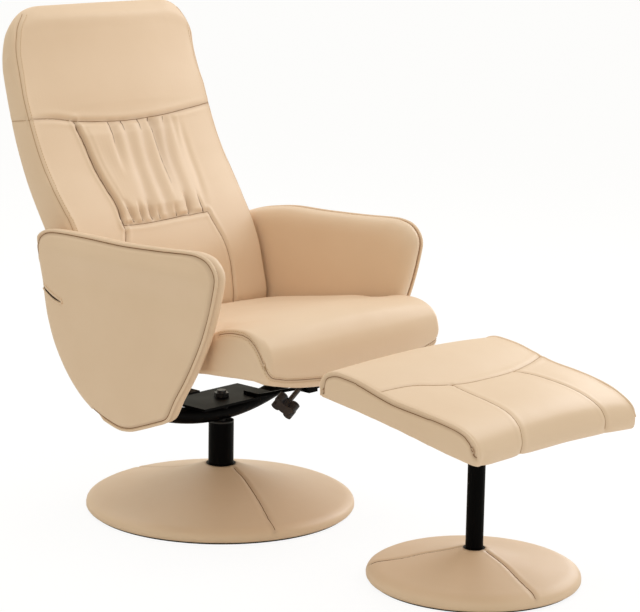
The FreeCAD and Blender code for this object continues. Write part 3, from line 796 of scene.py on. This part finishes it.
backShape = {
    "halfWidth": 0.238, "edge": 0.01, "crown": 0.006, "around": 400, "across": 176, "capPuff": 0.004,
    # how square the head's left and right corners are
    "cornerSquare": (2.6, 2.1), "cornerRadius": 0.088, "cornerFrom": 0.8,
    "frontWider": 0.009, "widerFrom": 0.575, "widerOver": 0.06,
    "front": (
        (0.1135, 0.3465), (0.1055, 0.365), (0.102, 0.388), (0.111, 0.428), (0.126, 0.486), (0.146, 0.532),
        (0.172, 0.574), (0.203, 0.615), (0.233, 0.656), (0.258, 0.7), (0.281, 0.752), (0.299, 0.8),
        (0.314, 0.848), (0.325, 0.89), (0.331, 0.922), (0.334, 0.945),
    ),
    "crest": ((0.339, 0.9595), (0.35, 0.9705), (0.362, 0.9625)),
    "rear": (
        (0.372, 0.945), (0.377, 0.912), (0.376, 0.872), (0.368, 0.822), (0.356, 0.77), (0.34, 0.718),
        (0.32, 0.668), (0.297, 0.62), (0.27, 0.574), (0.24, 0.526), (0.21, 0.474), (0.186, 0.424),
        (0.168, 0.385), (0.163, 0.36), (0.1595, 0.347),
    ),
    "foot": ((0.152, 0.341), (0.135, 0.3402), (0.119, 0.341)), "crownFrom": 0.39, "crownBy": 0.48,
}


def backRing(x):
    shape = backShape
    share = abs(x) / shape["halfWidth"]
    crown = shape["crown"] * (1 - share ** 2)
    radius = shape["cornerRadius"]
    past = max(abs(x) - (shape["halfWidth"] - radius), 0.0)
    square = shape["cornerSquare"][0 if x < 0 else 1]
    drop = radius * (1 - max(1 - (past / radius) ** square, 0.0) ** (1 / square))
    tallest = shape["crest"][1][1]
    squeeze = 1 - drop / (tallest - shape["cornerFrom"])

    def settle(y, z):
        if z > shape["cornerFrom"]:
            z = shape["cornerFrom"] + (z - shape["cornerFrom"]) * squeeze
        return (y, z)

    def swollen(z):
        return crown * min(1.0, max(0.0, (z - shape["crownFrom"]) / (shape["crownBy"] - shape["crownFrom"])))

    front = [settle(y - swollen(z), z) for y, z in shape["front"]]
    rest = [settle(y, z) for y, z in shape["crest"] + shape["rear"]]
    foot = list(shape["foot"])
    return [foot[1], foot[2]] + front + rest + [foot[0]]


back = loftPiece("backPad", backRing, backShape, leather)


def fillOut(piece, shape):
    # above the arms the front of the back stands wider than its rear
    places, _ = readSkin(piece)
    front = numpy.array(shape["front"])
    rear = numpy.array(shape["rear"])[::-1]
    ahead = numpy.interp(places[:, 2], front[:, 1], front[:, 0])
    behind = numpy.interp(places[:, 2], rear[:, 1], rear[:, 0])
    share = numpy.clip((behind - places[:, 1]) / (behind - ahead), 0, 1)
    clear = numpy.clip((places[:, 2] - shape["widerFrom"]) / shape["widerOver"], 0, 1)
    places[:, 0] *= 1 + shape["frontWider"] / shape["halfWidth"] * share * clear
    writeSkin(piece, places)


fillOut(back, backShape)


# armrests

armShape = {
    "centre": (-0.02, 0.4), "reach": 0.21, "around": 320, "innermost": 0.97, "innerRows": 24,
    "innerHollow": 0.0012, "faceRows": 60, "faceEdge": 0.003, "facePuff": 0.007, "faceRound": 0.07,
    # a soft roll below the top edge and a hollow under it
    "rolls": ((0.528, 0.022, 0.005), (0.476, 0.026, -0.0035)),
    # where the rolls end towards the rear and the front, and over what length they fade
    "rollRear": (0.2, 0.07), "rollFront": (-0.26, 0.05),
    "outline": (
        (-0.21, 0.5705), (-0.12, 0.566), (-0.02, 0.5625), (0.07, 0.564), (0.145, 0.564), (0.188, 0.561),
        (0.213, 0.55), (0.2225, 0.528), (0.214, 0.495), (0.206, 0.464), (0.201, 0.434), (0.192, 0.394),
        (0.172, 0.344), (0.137, 0.292), (0.094, 0.251), (0.049, 0.226), (-0.01, 0.2095), (-0.04, 0.211),
        (-0.072, 0.221), (-0.11, 0.235), (-0.136, 0.245), (-0.146, 0.253), (-0.164, 0.287), (-0.191, 0.329),
        (-0.215, 0.372), (-0.235, 0.414), (-0.25, 0.456), (-0.261, 0.496), (-0.2675, 0.53),
        (-0.2615, 0.548), (-0.243, 0.564),
    ),
    # the right arm runs lower at its rear
    "rearDrop": 0.022, "dropFrom": 0.03, "dropReach": 0.16, "dropAbove": 0.48, "dropCurve": 1.5,
    "layers": (
        (0.284, 0.006), (0.2838, 0.0045), (0.2828, 0.003), (0.28, 0.0022), (0.2775, 0.0016),
        (0.274, 0.0004), (0.27, -0.0006), (0.265, -0.0008), (0.26, 0.0006), (0.256, 0.0032),
        (0.2525, 0.007), (0.249, 0.013), (0.2462, 0.021), (0.2444, 0.031), (0.2434, 0.043),
    ),
}


def armOutline(count, side):
    outline = []
    for y, z in armShape["outline"]:
        share = min(1.0, max(0.0, (y - armShape["dropFrom"]) / armShape["dropReach"]))
        if side > 0 and z > armShape["dropAbove"]:
            z -= armShape["rearDrop"] * share ** armShape["dropCurve"]
        outline.append((y, z))
    return evenLoop(outline, count)


def armRow(ring, x, inset, side):
    # the outline drawn in towards the arm's centre, at one depth
    centre = Vector(armShape["centre"])
    scale = 1 - inset / armShape["reach"]
    return [Vector((side * x, centre.x + (p.x - centre.x) * scale, centre.y + (p.y - centre.y) * scale))
            for p in ring]


def makeArm(name, side):
    around = armShape["around"]
    ring = armOutline(around, side)
    innermost = armShape["reach"] * armShape["innermost"]
    vertices = []
    rows = list(armShape["layers"])
    face = []
    for step in range(armShape["faceRows"]):
        share = step / armShape["faceRows"]
        inset = innermost - (innermost - rows[0][1] - armShape["faceEdge"]) * share
        slope = 1 - min(1.0, (inset - rows[0][1]) / armShape["faceRound"])
        face.append((rows[0][0] + armShape["facePuff"] * math.sqrt(1 - slope ** 2), inset))
    inner = []
    for step in range(1, armShape["innerRows"] + 1):
        share = step / armShape["innerRows"]
        inset = rows[-1][1] + (innermost - rows[-1][1]) * share
        inner.append((rows[-1][0] - armShape["innerHollow"] * math.sin(math.pi / 2 * share), inset))
    everyRow = face + rows + inner
    for x, inset in everyRow:
        vertices += armRow(ring, x, inset, side)
    faces = ringFaces(len(everyRow), around)
    for row, x in ((0, everyRow[0][0]), (len(everyRow) - 1, everyRow[-1][0])):
        middle = len(vertices)
        vertices.append((side * x,) + armShape["centre"])
        for k in range(around):
            faces.append((row * around + k, row * around + (k + 1) % around, middle))
    piece = newPiece(name, vertices, faces, leather)
    turnOut(piece)
    places, normals = readSkin(piece)
    outer = numpy.clip(normals[:, 0] * side * 3 - 2, 0, 1)
    rear, rearFade = armShape["rollRear"]
    front, frontFade = armShape["rollFront"]
    outer *= numpy.clip((rear - places[:, 1]) / rearFade, 0, 1)
    outer *= numpy.clip((places[:, 1] - front) / frontFade, 0, 1)
    for height, spread, rise in armShape["rolls"]:
        places[:, 0] += side * rise * outer * numpy.exp(-((places[:, 2] - height) / spread) ** 2)
    writeSkin(piece, places)
    return piece


armPieces = {"left": makeArm("armPadLeft", -1), "right": makeArm("armPadRight", 1)}


# footstool

stoolShape = {
    "halfWidth": 0.227, "edge": 0.01, "crown": 0.005, "around": 300, "across": 140, "capPuff": 0.003,
    "top": (
        (-0.466, 0.366), (-0.471, 0.381), (-0.483, 0.391), (-0.503, 0.3965), (-0.525, 0.3955),
        (-0.56, 0.3905), (-0.6, 0.38), (-0.64, 0.3705), (-0.69, 0.364), (-0.735, 0.358), (-0.775, 0.351),
        (-0.8, 0.342), (-0.817, 0.329), (-0.8255, 0.312), (-0.8265, 0.296),
    ),
    "bottom": (
        (-0.822, 0.2865), (-0.81, 0.286), (-0.74, 0.2985), (-0.64, 0.318), (-0.54, 0.3345), (-0.48, 0.3415),
    ),
    # the right end hangs lower, more so at the front
    "farSag": (0.006, 0.014), "sagCurve": 1.5, "sagFrom": -0.72, "sagOver": 0.08,
    "rear": ((-0.4685, 0.344), (-0.466, 0.353)),
}


def stoolRing(x):
    share = abs(x) / stoolShape["halfWidth"]
    crown = stoolShape["crown"] * (1 - share ** 2)
    top = [(y, z + crown) for y, z in stoolShape["top"][2:13]]
    ring = ([stoolShape["rear"][1]] + list(stoolShape["top"][:2]) + top + list(stoolShape["top"][13:])
            + list(stoolShape["bottom"]) + [stoolShape["rear"][0]])
    above, below = stoolShape["farSag"]
    sag = max(x / stoolShape["halfWidth"], 0.0) ** stoolShape["sagCurve"]

    def forward(y):
        return min(1.0, max(0.0, (stoolShape["sagFrom"] - y) / stoolShape["sagOver"]))

    return [(y, z - sag * (above + (below - above) * forward(y))) for y, z in ring]


stool = loftPiece("stoolPad", stoolRing, stoolShape, leather)
print("padded forms made")


# wrapped cones of the two bases

coneShapes = {
    "base": {"centreY": 0.0, "radius": 0.265, "top": 0.088, "hub": 0.029, "body": "chair_base"},
    "stool": {"centreY": -0.643, "radius": 0.193, "top": 0.06, "hub": 0.02, "body": "footstool"},
}


coneLook = {
    "rim": 0.02, "foot": 0.004, "wall": 0.002, "around": 180,
    # share of the run to the hub, and of the rise
    "slope": (
        (0.86, 0.1), (0.7, 0.215), (0.52, 0.355), (0.34, 0.53), (0.2, 0.705), (0.1, 0.85), (0.04, 0.945),
        (0.0, 0.985),
    ),
}


def makeCone(prefix, shape):
    radius, top, hub = shape["radius"], shape["top"], shape["hub"]
    rim, foot = coneLook["rim"], coneLook["foot"]
    profile = [Vector((radius - 0.006, foot, 0)), Vector((radius - 0.0015, foot + 0.0006, 0)),
               Vector((radius, foot + 0.003, 0)), Vector((radius, rim * 0.62, 0)),
               Vector((radius - 0.0022, rim * 0.92, 0)), Vector((radius - 0.009, rim * 1.16, 0)),
               Vector((radius - rim, rim * 1.38, 0))]
    run = radius - rim - hub
    rise = top - rim * 1.38
    for share, high in coneLook["slope"]:
        profile.append(Vector((hub + run * share, rim * 1.38 + rise * high, 0)))
    line = smoothPath(profile, 0.004)
    around = coneLook["around"]
    vertices = []
    for point in line:
        for k in range(around):
            angle = 2 * math.pi * k / around
            ahead = shape["centreY"] + point.x * math.sin(angle)
            vertices.append((point.x * math.cos(angle), ahead, point.y))
    piece = newPiece(prefix + "Cone", vertices, ringFaces(len(line), around), leather)
    turnOut(piece)
    thicken = piece.modifiers.new("wall", "SOLIDIFY")
    thicken.thickness, thicken.offset = coneLook["wall"], -1
    return piece


cones = {prefix: makeCone(prefix, shape) for prefix, shape in coneShapes.items()}
print("cones made")

# sewing of the seat

seatSewing = {
    "side": (
        (-0.24, -0.222, 0.419), (-0.24, -0.2366, 0.425), (-0.24, -0.2625, 0.4295), (-0.24, -0.2882, 0.4275),
        (-0.24, -0.312, 0.4175), (-0.24, -0.3285, 0.401), (-0.24, -0.3395, 0.384),
        (-0.2385, -0.347, 0.3715), (-0.23, -0.3545, 0.359), (-0.215, -0.358, 0.351),
        (-0.18, -0.3595, 0.343), (-0.115, -0.361, 0.3365), (-0.05, -0.362, 0.3325), (0.0, -0.362, 0.3315),
    ),
    "width": 0.005, "depth": 0.003, "rowAway": 0.0048,
    "dimples": (
        ((-0.215, -0.205, 0.425), 0.024, 0.007), ((0.215, -0.205, 0.425), 0.024, 0.007),
        ((-0.06, -0.03, 0.4), 0.09, 0.003), ((0.14, -0.14, 0.418), 0.08, 0.002),
        ((-0.24, -0.19, 0.362), 0.017, 0.007), ((-0.24, -0.193, 0.388), 0.017, 0.007),
        ((-0.24, -0.2, 0.412), 0.016, 0.007), ((0.24, -0.193, 0.388), 0.024, 0.006),
    ),
}


def dent(piece, dimples):
    # soft hollows where the filling gives way
    places, normals = readSkin(piece)
    for spot, reach, depth in dimples:
        away = numpy.linalg.norm(places - numpy.array(spot), axis=1)
        places -= normals * (depth * numpy.exp(-(away / reach) ** 2))[:, None]
    writeSkin(piece, places)


def sewSeat(piece, look):
    swell(piece, paddingCloth, [look["side"], flipped(look["side"])])
    dent(piece, look["dimples"])
    surface = surfaceOf(piece)
    half = layOn(surface, look["side"])
    whole = half + [Vector((-p.x, p.y, p.z)) for p in reversed(half[:-1])]
    pressSeams(piece, [{"path": whole, "width": look["width"], "depth": look["depth"], "dark": 0.22}])
    before, surface = surface, surfaceOf(piece)
    line = inGroove(before, surface, whole, look["depth"])
    rows = [beside(surface, line, away, 0.0002) for away in (-look["rowAway"], look["rowAway"])]
    return (sew("seatSeam", "piping", [line], dict(seamLook, Finish=seamLine)),
            sew("seatStitches", "stitches", rows, dict(stitchLook, Finish=thread)))


seatTrim = sewSeat(seat, seatSewing)


# sewing of the backrest

backSewing = {
    "headSeam": (
        (-0.238, 0.285, 0.76), (-0.18, 0.281, 0.757), (-0.131, 0.276, 0.749), (-0.054, 0.272, 0.743),
        (0.017, 0.272, 0.741), (0.098, 0.274, 0.744), (0.184, 0.279, 0.752), (0.238, 0.284, 0.757),
    ),
    "leftGather": (
        (-0.136, 0.274, 0.747), (-0.127, 0.258, 0.706), (-0.122, 0.231, 0.66), (-0.116, 0.204, 0.622),
        (-0.111, 0.182, 0.592), (-0.114, 0.156, 0.556),
    ),
    "rightGather": (
        (0.142, 0.268, 0.745), (0.139, 0.243, 0.69), (0.134, 0.212, 0.635), (0.126, 0.185, 0.597),
        (0.115, 0.158, 0.557),
    ),
    "bottomGather": (
        (-0.114, 0.156, 0.556), (-0.06, 0.154, 0.5545), (-0.008, 0.155, 0.5555), (0.047, 0.157, 0.557),
        (0.115, 0.159, 0.5575),
    ),
    "lumbar": (
        (0.115, 0.157, 0.557), (0.123, 0.142, 0.531), (0.133, 0.13, 0.502), (0.139, 0.119, 0.472),
        (0.141, 0.113, 0.445), (0.139, 0.104, 0.407), (0.136, 0.104, 0.372),
    ),
    "leftLumbar": (
        (-0.114, 0.157, 0.5565), (-0.1165, 0.1475, 0.542), (-0.124, 0.14, 0.526), (-0.133, 0.13, 0.502),
        (-0.139, 0.119, 0.472), (-0.141, 0.113, 0.445), (-0.139, 0.104, 0.407), (-0.136, 0.104, 0.372),
    ),
    "boxing": (
        (-0.24, 0.1085, 0.388), (-0.24, 0.117, 0.428), (-0.24, 0.132, 0.486), (-0.24, 0.152, 0.532),
        (-0.24, 0.178, 0.574), (-0.24, 0.209, 0.615), (-0.24, 0.239, 0.656), (-0.24, 0.264, 0.7),
        (-0.24, 0.287, 0.752), (-0.24, 0.305, 0.8), (-0.238, 0.32, 0.848), (-0.236, 0.331, 0.885),
        (-0.228, 0.34, 0.922), (-0.206, 0.349, 0.951),
    ),
    "boxCross": ((-0.24, 0.287, 0.7575), (-0.241, 0.315, 0.754), (-0.24, 0.345, 0.75)),
    "topRow": 0.009,
    # width, depth, darkness, lift beside it, fade towards its ends
    "grooves": {
        "headSeam": (0.005, 0.004, 0.22, 0.25, 0.05),
        "leftGather": (0.0046, 0.0062, 0.46, 0.3, 0.012),
        "rightGather": (0.007, 0.0016, 0.05, 0.15, 0.06),
        "bottomGather": (0.0046, 0.004, 0.24, 0.25, 0.01),
        "lumbar": (0.0044, 0.0028, 0.18, 0.25, 0.01),
        "leftLumbar": (0.0044, 0.0028, 0.18, 0.25, 0.01),
        "boxing": (0.004, 0.0018, 0.08, 0.25, 0.03),
        "boxCross": (0.004, 0.0014, 0.06, 0.2, 0.01),
    },
}
gatherShape = {
    "top": 0.745, "bottom": 0.556, "halfTop": 0.139, "halfBottom": 0.112, "puff": 0.008, "gapeWider": 1.4,
    # place at the head seam and at the lower seam, highest and lowest point, depth, width, sharpness,
    # painted shade in the valley, then the width and reach of a dark sheet of painted shadow in the opening
    # at the seam
    "folds": (
        (-0.37, -0.52, 1.0, 0.4, 0.006, 0.11, 2.4, 0.12, 0.0018, 0.22),
        (-0.08, -0.32, 1.0, 0.0, 0.0048, 0.15, 1.4, 0.09, 0.0015, 0.1),
        (0.21, 0.06, 1.0, 0.0, 0.0046, 0.15, 1.4, 0.09, 0.0015, 0.11),
        (0.44, 0.36, 1.0, 0.06, 0.01, 0.17, 2.8, 0.22, 0.0022, 0.66),
        (0.73, 0.59, 1.0, 0.0, 0.0054, 0.13, 1.4, 0.1, 0.001, 0.06),
        (0.9, 0.94, 1.0, 0.55, 0.003, 0.08, 1.2, 0.05, 0.0, 0.0),
        (-0.7, -0.76, 0.96, 0.25, 0.003, 0.15, 1.0, 0.04, 0.0, 0.0),
        (-1.1, -0.76, 0.26, 0.0, 0.0072, 0.065, 2.0, 0.2, 0.0022, 0.17),
        (-0.62, -0.54, 0.22, 0.0, 0.0072, 0.06, 2.0, 0.2, 0.0022, 0.12),
        (-0.36, -0.32, 0.24, 0.0, 0.005, 0.055, 2.0, 0.14, 0.0016, 0.12),
        (0.54, 0.6, 0.28, 0.0, 0.0076, 0.065, 2.0, 0.2, 0.0022, 0.2),
        (0.88, 0.94, 0.26, 0.0, 0.005, 0.05, 2.0, 0.14, 0.0016, 0.18),
        (-0.14, -0.12, 0.16, 0.0, 0.0042, 0.045, 1.5, 0.1, 0.0012, 0.05),
        (0.24, 0.26, 0.16, 0.0, 0.0042, 0.045, 1.5, 0.1, 0.0012, 0.05),
    ),
}


def foldPlace(head, foot, t):
    return foot + (head - foot) * t + 0.02 * numpy.sin(5 * t + 11 * head)


def gatherPanel(piece, shape):
    # leather drawn up between the two cross seams, in soft uneven folds, with painted shade in the fold
    # valleys
    places, normals = readSkin(piece)
    t = (places[:, 2] - shape["bottom"]) / (shape["top"] - shape["bottom"])
    s = places[:, 0] / (shape["halfBottom"] + (shape["halfTop"] - shape["halfBottom"]) * t)
    inside = (normals[:, 1] < -0.25) & (t > -0.02) & (t < 1.02) & (numpy.abs(s) < 1)
    t, s = t[inside], s[inside]
    hem = numpy.clip((1 + s) * 5, 0, 1) * numpy.clip((1 - s) * 1.6, 0, 1)
    hem = hem * numpy.clip(t * 7, 0, 1) * numpy.clip((1 - t) * 7, 0, 1)
    sides = numpy.clip((1 - numpy.abs(s)) * 8, 0, 1)
    move = shape["puff"] * hem
    shade = numpy.zeros(len(places))
    for head, foot, high, low, depth, width, sharp, dark, _, _ in shape["folds"]:
        span = (high - low) * 0.7
        upper = numpy.clip((high - t) / (0.04 if high == 1 else span), 0, 1)
        lower = numpy.clip((t - low) / (0.04 if low == 0 else span), 0, 1)
        away = (s - foldPlace(head, foot, t)) / width
        away = numpy.where(away < 0, away * sharp, away)
        fade = upper ** 2 * (3 - 2 * upper) * lower ** 2 * (3 - 2 * lower)
        valley = fade * sides * numpy.exp(-away ** 2)
        move -= depth * valley
        shade[inside] += dark * valley
    places[inside] += normals[inside] * move[:, None]
    writeSkin(piece, places)
    # the valleys' painted shade goes into the per-point shade mask that darkens the leather
    creaseShade = piece.data.attributes.new("creaseShade", "FLOAT", "POINT")
    creaseShade.data.foreach_set("value", shade)


def openingPaths(surface, shape):
    paths = []
    for head, foot, high, _, _, width, sharp, _, gape, reach in shape["folds"]:
        path = []
        for step in range(6 if gape else 0):
            t = 0.975 - reach * step / 5 if high == 1 else 0.008 + reach * step / 5
            s = foldPlace(head, foot, t) - 0.25 * width / sharp
            x = s * (shape["halfBottom"] + (shape["halfTop"] - shape["halfBottom"]) * t)
            z = shape["bottom"] + (shape["top"] - shape["bottom"]) * t
            path.append(surface.ray_cast(Vector((x, -1, z)), Vector((0, 1, 0)))[0])
        if path:
            paths.append((path, gape * shape["gapeWider"]))
    return paths


def sewBack(piece, look):
    held = ("headSeam", "leftGather", "rightGather", "bottomGather", "lumbar", "leftLumbar", "boxing")
    swell(piece, paddingCloth, [look[key] for key in held] + [flipped(look["boxing"])])
    before = surfaceOf(piece)
    seams = {}
    for key, (width, depth, dark, lift, taper) in look["grooves"].items():
        seams[key] = {"path": layOn(before, look[key]), "width": width, "depth": depth, "dark": dark,
                      "lift": lift, "taper": taper}
        if key in ("boxing", "boxCross"):
            seams[key + "Far"] = dict(seams[key], path=layOn(before, flipped(look[key])))
    gatherPanel(piece, gatherShape)
    pressSeams(piece, list(seams.values()))
    surface = surfaceOf(piece)

    def linesOf(*keys):
        return [inGroove(before, surface, seams[key]["path"], seams[key]["depth"]) for key in keys]

    rows = [beside(surface, seams["boxing"]["path"], look["topRow"], 0.0002),
            beside(surface, seams["boxingFar"]["path"], -look["topRow"], 0.0002)]
    deepLines = linesOf("leftGather")
    lines = linesOf("headSeam", "bottomGather", "lumbar", "leftLumbar")
    boxLines = linesOf("boxing", "boxingFar", "boxCross", "boxCrossFar")
    # the fold openings are drawn as dark sheets of painted shadow
    return (leaves("backOpeningShadows", surface, openingPaths(surface, gatherShape), deepSeam),
            sew("backDeepSeams", "piping", deepLines, dict(seamLook, Radius=0.0009, Finish=deepSeam)),
            sew("backSeams", "piping", lines, dict(seamLook, Finish=seamLine)),
            sew("backBoxing", "piping", boxLines, dict(seamLook, Finish=paleSeam)),
            sew("backStitches", "stitches", rows, dict(stitchLook, Finish=thread)))


backTrim = sewBack(back, backSewing)
print("seat and back sewn")

# sewing of the armrests

armSewing = {
    "weltX": 0.2815, "weltIn": 0.001, "weltRadius": 0.003, "edgeX": 0.2776, "faceIn": 0.005,
    "faceSeam": {"width": 0.0036, "depth": 0.0022, "dark": 0.26},
    "edgeSeam": {"width": 0.003, "depth": 0.0016, "dark": 0.22},
    "bareFrom": 0.06, "bareBelow": 0.505,
    "slit": (
        (-0.286, 0.198, 0.4515), (-0.286, 0.166, 0.4365), (-0.286, 0.138, 0.4285),
    ),
    "slitWidth": 0.0075,
    "lipAway": 0.0044, "lipRadius": 0.0022, "endDepth": 0.012, "endRows": 8,
}


def weltedEdge(look, side):
    # the edge from the rear corner over the top, down the front and along the foot
    ring = armOutline(360, side)
    bare = [p.x > look["bareFrom"] and p.y < look["bareBelow"] for p in ring]
    start = next(k for k in range(len(ring)) if bare[k - 1] and not bare[k])
    turned = ring[start:] + ring[:start]
    return [p for p, skip in zip(turned, bare[start:] + bare[:start]) if not skip]


def sinkEnds(path, depth, count):
    # the ends of a welt run into the pad
    for k in range(count):
        inward = depth * (1 - k / count)
        for point in (path[k], path[-1 - k]):
            point.x -= math.copysign(inward, point.x)
    return path


def sewArm(piece, name, side, look):
    def edge(x, inset):
        return armRow(weltedEdge(look, side), x, inset, side)

    surface = surfaceOf(piece)
    slit = layOn(surface, look["slit"] if side < 0 else flipped(look["slit"]))
    onFace = layOn(surface, edge(armShape["layers"][0][0], look["faceIn"])[::3])
    onEdge = layOn(surface, edge(look["edgeX"], 0.0)[::3])
    pressSeams(piece, [dict(look["faceSeam"], path=onFace), dict(look["edgeSeam"], path=onEdge)])
    before, surface = surface, surfaceOf(piece)
    lines = [inGroove(before, surface, onFace, look["faceSeam"]["depth"]),
             inGroove(before, surface, onEdge, look["edgeSeam"]["depth"])]
    welt = smoothPath(edge(look["weltX"], look["weltIn"])[::3], 0.004)
    welt = sinkEnds(welt, look["endDepth"], look["endRows"])
    lips = [beside(surface, slit, away, 0.0002) for away in (-look["lipAway"], look["lipAway"])]
    for lip in lips:
        lip[-1] = slit[-1]
    lipLook = {"Radius": look["lipRadius"], "Spacing": 0.003, "Finish": leather}
    weltLook = {"Radius": look["weltRadius"], "Spacing": 0.005, "Finish": leather}
    # the slit's opening is a dark sheet of painted shadow between two real lips
    return (leaves(name + "SlitShadow", surface, [(slit, look["slitWidth"])], slitShade),
            sew(name + "SlitLips", "piping", lips, lipLook),
            sew(name + "Welt", "piping", [welt], weltLook),
            sew(name + "Seams", "piping", lines, dict(seamLook, Finish=seamLine)))


armTrim = []
for side, piece in armPieces.items():
    armTrim += sewArm(piece, "arm" + side.capitalize(), -1 if side == "left" else 1, armSewing)


# sewing of the footstool

stoolSewing = {
    "weltX": 0.2242, "weltIn": 0.003, "weltRadius": 0.003, "faceIn": 0.0095, "faceOut": 0.002,
    "topSeam": {"width": 0.0044, "depth": 0.0015, "dark": 0.13},
    "faceSeam": {"width": 0.0036, "depth": 0.0022, "dark": 0.3},
    "cross": (
        (-0.22, -0.605, 0.378), (-0.197, -0.607, 0.379), (-0.15, -0.615, 0.38), (-0.11, -0.632, 0.377),
        (-0.076, -0.645, 0.374), (-0.035, -0.654, 0.373), (0.027, -0.656, 0.373), (0.088, -0.65, 0.373),
        (0.127, -0.641, 0.373), (0.175, -0.628, 0.376), (0.22, -0.612, 0.378),
    ),
    "nearRun": (
        (-0.078, -0.645, 0.374), (-0.084, -0.68, 0.37), (-0.087, -0.714, 0.365), (-0.09, -0.749, 0.359),
        (-0.095, -0.782, 0.352), (-0.102, -0.808, 0.339), (-0.106, -0.822, 0.322), (-0.107, -0.826, 0.303),
        (-0.107, -0.825, 0.289),
    ),
    "farRun": (
        (0.09, -0.65, 0.373), (0.108, -0.672, 0.37), (0.116, -0.71, 0.365), (0.12, -0.748, 0.359),
        (0.121, -0.785, 0.351), (0.125, -0.811, 0.335), (0.131, -0.823, 0.314), (0.134, -0.826, 0.3),
        (0.134, -0.825, 0.289),
    ),
    "dimples": (
        ((-0.212, -0.824, 0.297), 0.012, 0.004), ((-0.107, -0.826, 0.292), 0.012, 0.003),
        ((0.134, -0.826, 0.292), 0.012, 0.003),
    ),
}


def smoothLine(points):
    return [Vector((p.x, p.y)) for p in smoothPath([(p.x, p.y, 0) for p in points], 0.004)]


def sewStool(piece, look):
    profile = [Vector(p) for p in stoolShape["rear"] + stoolShape["top"] + stoolShape["bottom"][:1]]

    def edge(x, inset):
        return [Vector((x, p.x, p.y)) for p in drawnIn(smoothLine(profile), inset)]

    edges = [edge(side * look["weltX"], look["weltIn"]) for side in (-1, 1)]
    swell(piece, paddingCloth, [look[key] for key in ("cross", "nearRun", "farRun")] + edges)
    dent(piece, look["dimples"])
    surface = surfaceOf(piece)
    seams = [dict(look["topSeam"], path=layOn(surface, look[key])) for key in ("cross", "nearRun", "farRun")]
    for side in (-1, 1):
        face = layOn(surface, edge(side * (stoolShape["halfWidth"] + look["faceOut"]), look["faceIn"])[::3])
        seams.append(dict(look["faceSeam"], path=face))
    pressSeams(piece, seams)
    before, surface = surface, surfaceOf(piece)
    lines = [inGroove(before, surface, seam["path"], seam["depth"]) for seam in seams]
    welts = [layOn(surface, edge(side * look["weltX"], look["weltIn"])[::3], -0.0004) for side in (-1, 1)]
    weltLook = {"Radius": look["weltRadius"], "Spacing": 0.005, "Finish": leather}
    return (sew("stoolWelt", "piping", welts, weltLook),
            sew("stoolCrossSeams", "piping", lines[:3], dict(seamLook, Finish=paleSeam)),
            sew("stoolSeams", "piping", lines[3:], dict(seamLook, Finish=seamLine)))


stoolTrim = sewStool(stool, stoolSewing)


# seams of the cone covers: turn in degrees and distance from the axis

coneSewing = {
    "base": (
        ((-90.8, 0.034), (-96.1, 0.075), (-105.1, 0.145), (-110.6, 0.223), (-111.6, 0.2645)),
        ((88.0, 0.034), (88.0, 0.14), (88.0, 0.2645)),
    ),
    "stool": (
        ((-81.5, 0.029), (-92.5, 0.073), (-103.0, 0.133), (-106.5, 0.1925)),
        ((113.0, 0.024), (118.0, 0.085), (128.0, 0.13), (130.0, 0.1925)),
    ),
}


coneSeam = {"width": 0.004, "depth": 0.0018, "dark": 0.22}


def sewCone(piece, prefix, shape):
    surface = surfaceOf(piece)
    paths = []
    for places in coneSewing[prefix]:
        rough = []
        for angle, reach in places:
            turn = math.radians(angle)
            share = 1 - reach / shape["radius"]
            ahead = shape["centreY"] + reach * math.sin(turn)
            rough.append((reach * math.cos(turn), ahead, 0.02 + 0.07 * share ** 2))
        paths.append(layOn(surface, rough))
    pressSeams(piece, [dict(coneSeam, path=path) for path in paths])
    surface = surfaceOf(piece)
    return sew(prefix + "ConeSeams", "piping", [layOn(surface, path[::3], -0.0001) for path in paths],
               dict(seamLook, Finish=seamLine))


coneTrim = {prefix: sewCone(cones[prefix], prefix, shape) for prefix, shape in coneShapes.items()}
print("arms, stool and cones sewn")

dressPiece(seat, "seat", ("seat_cushion",))
for piece in armTrim:
    dressPiece(piece, "swivel_frame")
for piece in stoolTrim:
    dressPiece(piece, "footstool")
for prefix, piece in coneTrim.items():
    dressPiece(piece, coneShapes[prefix]["body"])
for piece in seatTrim:
    dressPiece(piece, "seat")
for piece in backTrim:
    dressPiece(piece, "backrest")
dressPiece(back, "backrest", ("back_cushion",))
dressPiece(stool, "footstool", ("stool_cushion",))
for side, piece in armPieces.items():
    dressPiece(piece, "swivel_frame", ("arm_pad_" + side, "arm_outer_panel_" + side))
for prefix, piece in cones.items():
    dressPiece(piece, coneShapes[prefix]["body"], (prefix + "_cone_cover",))
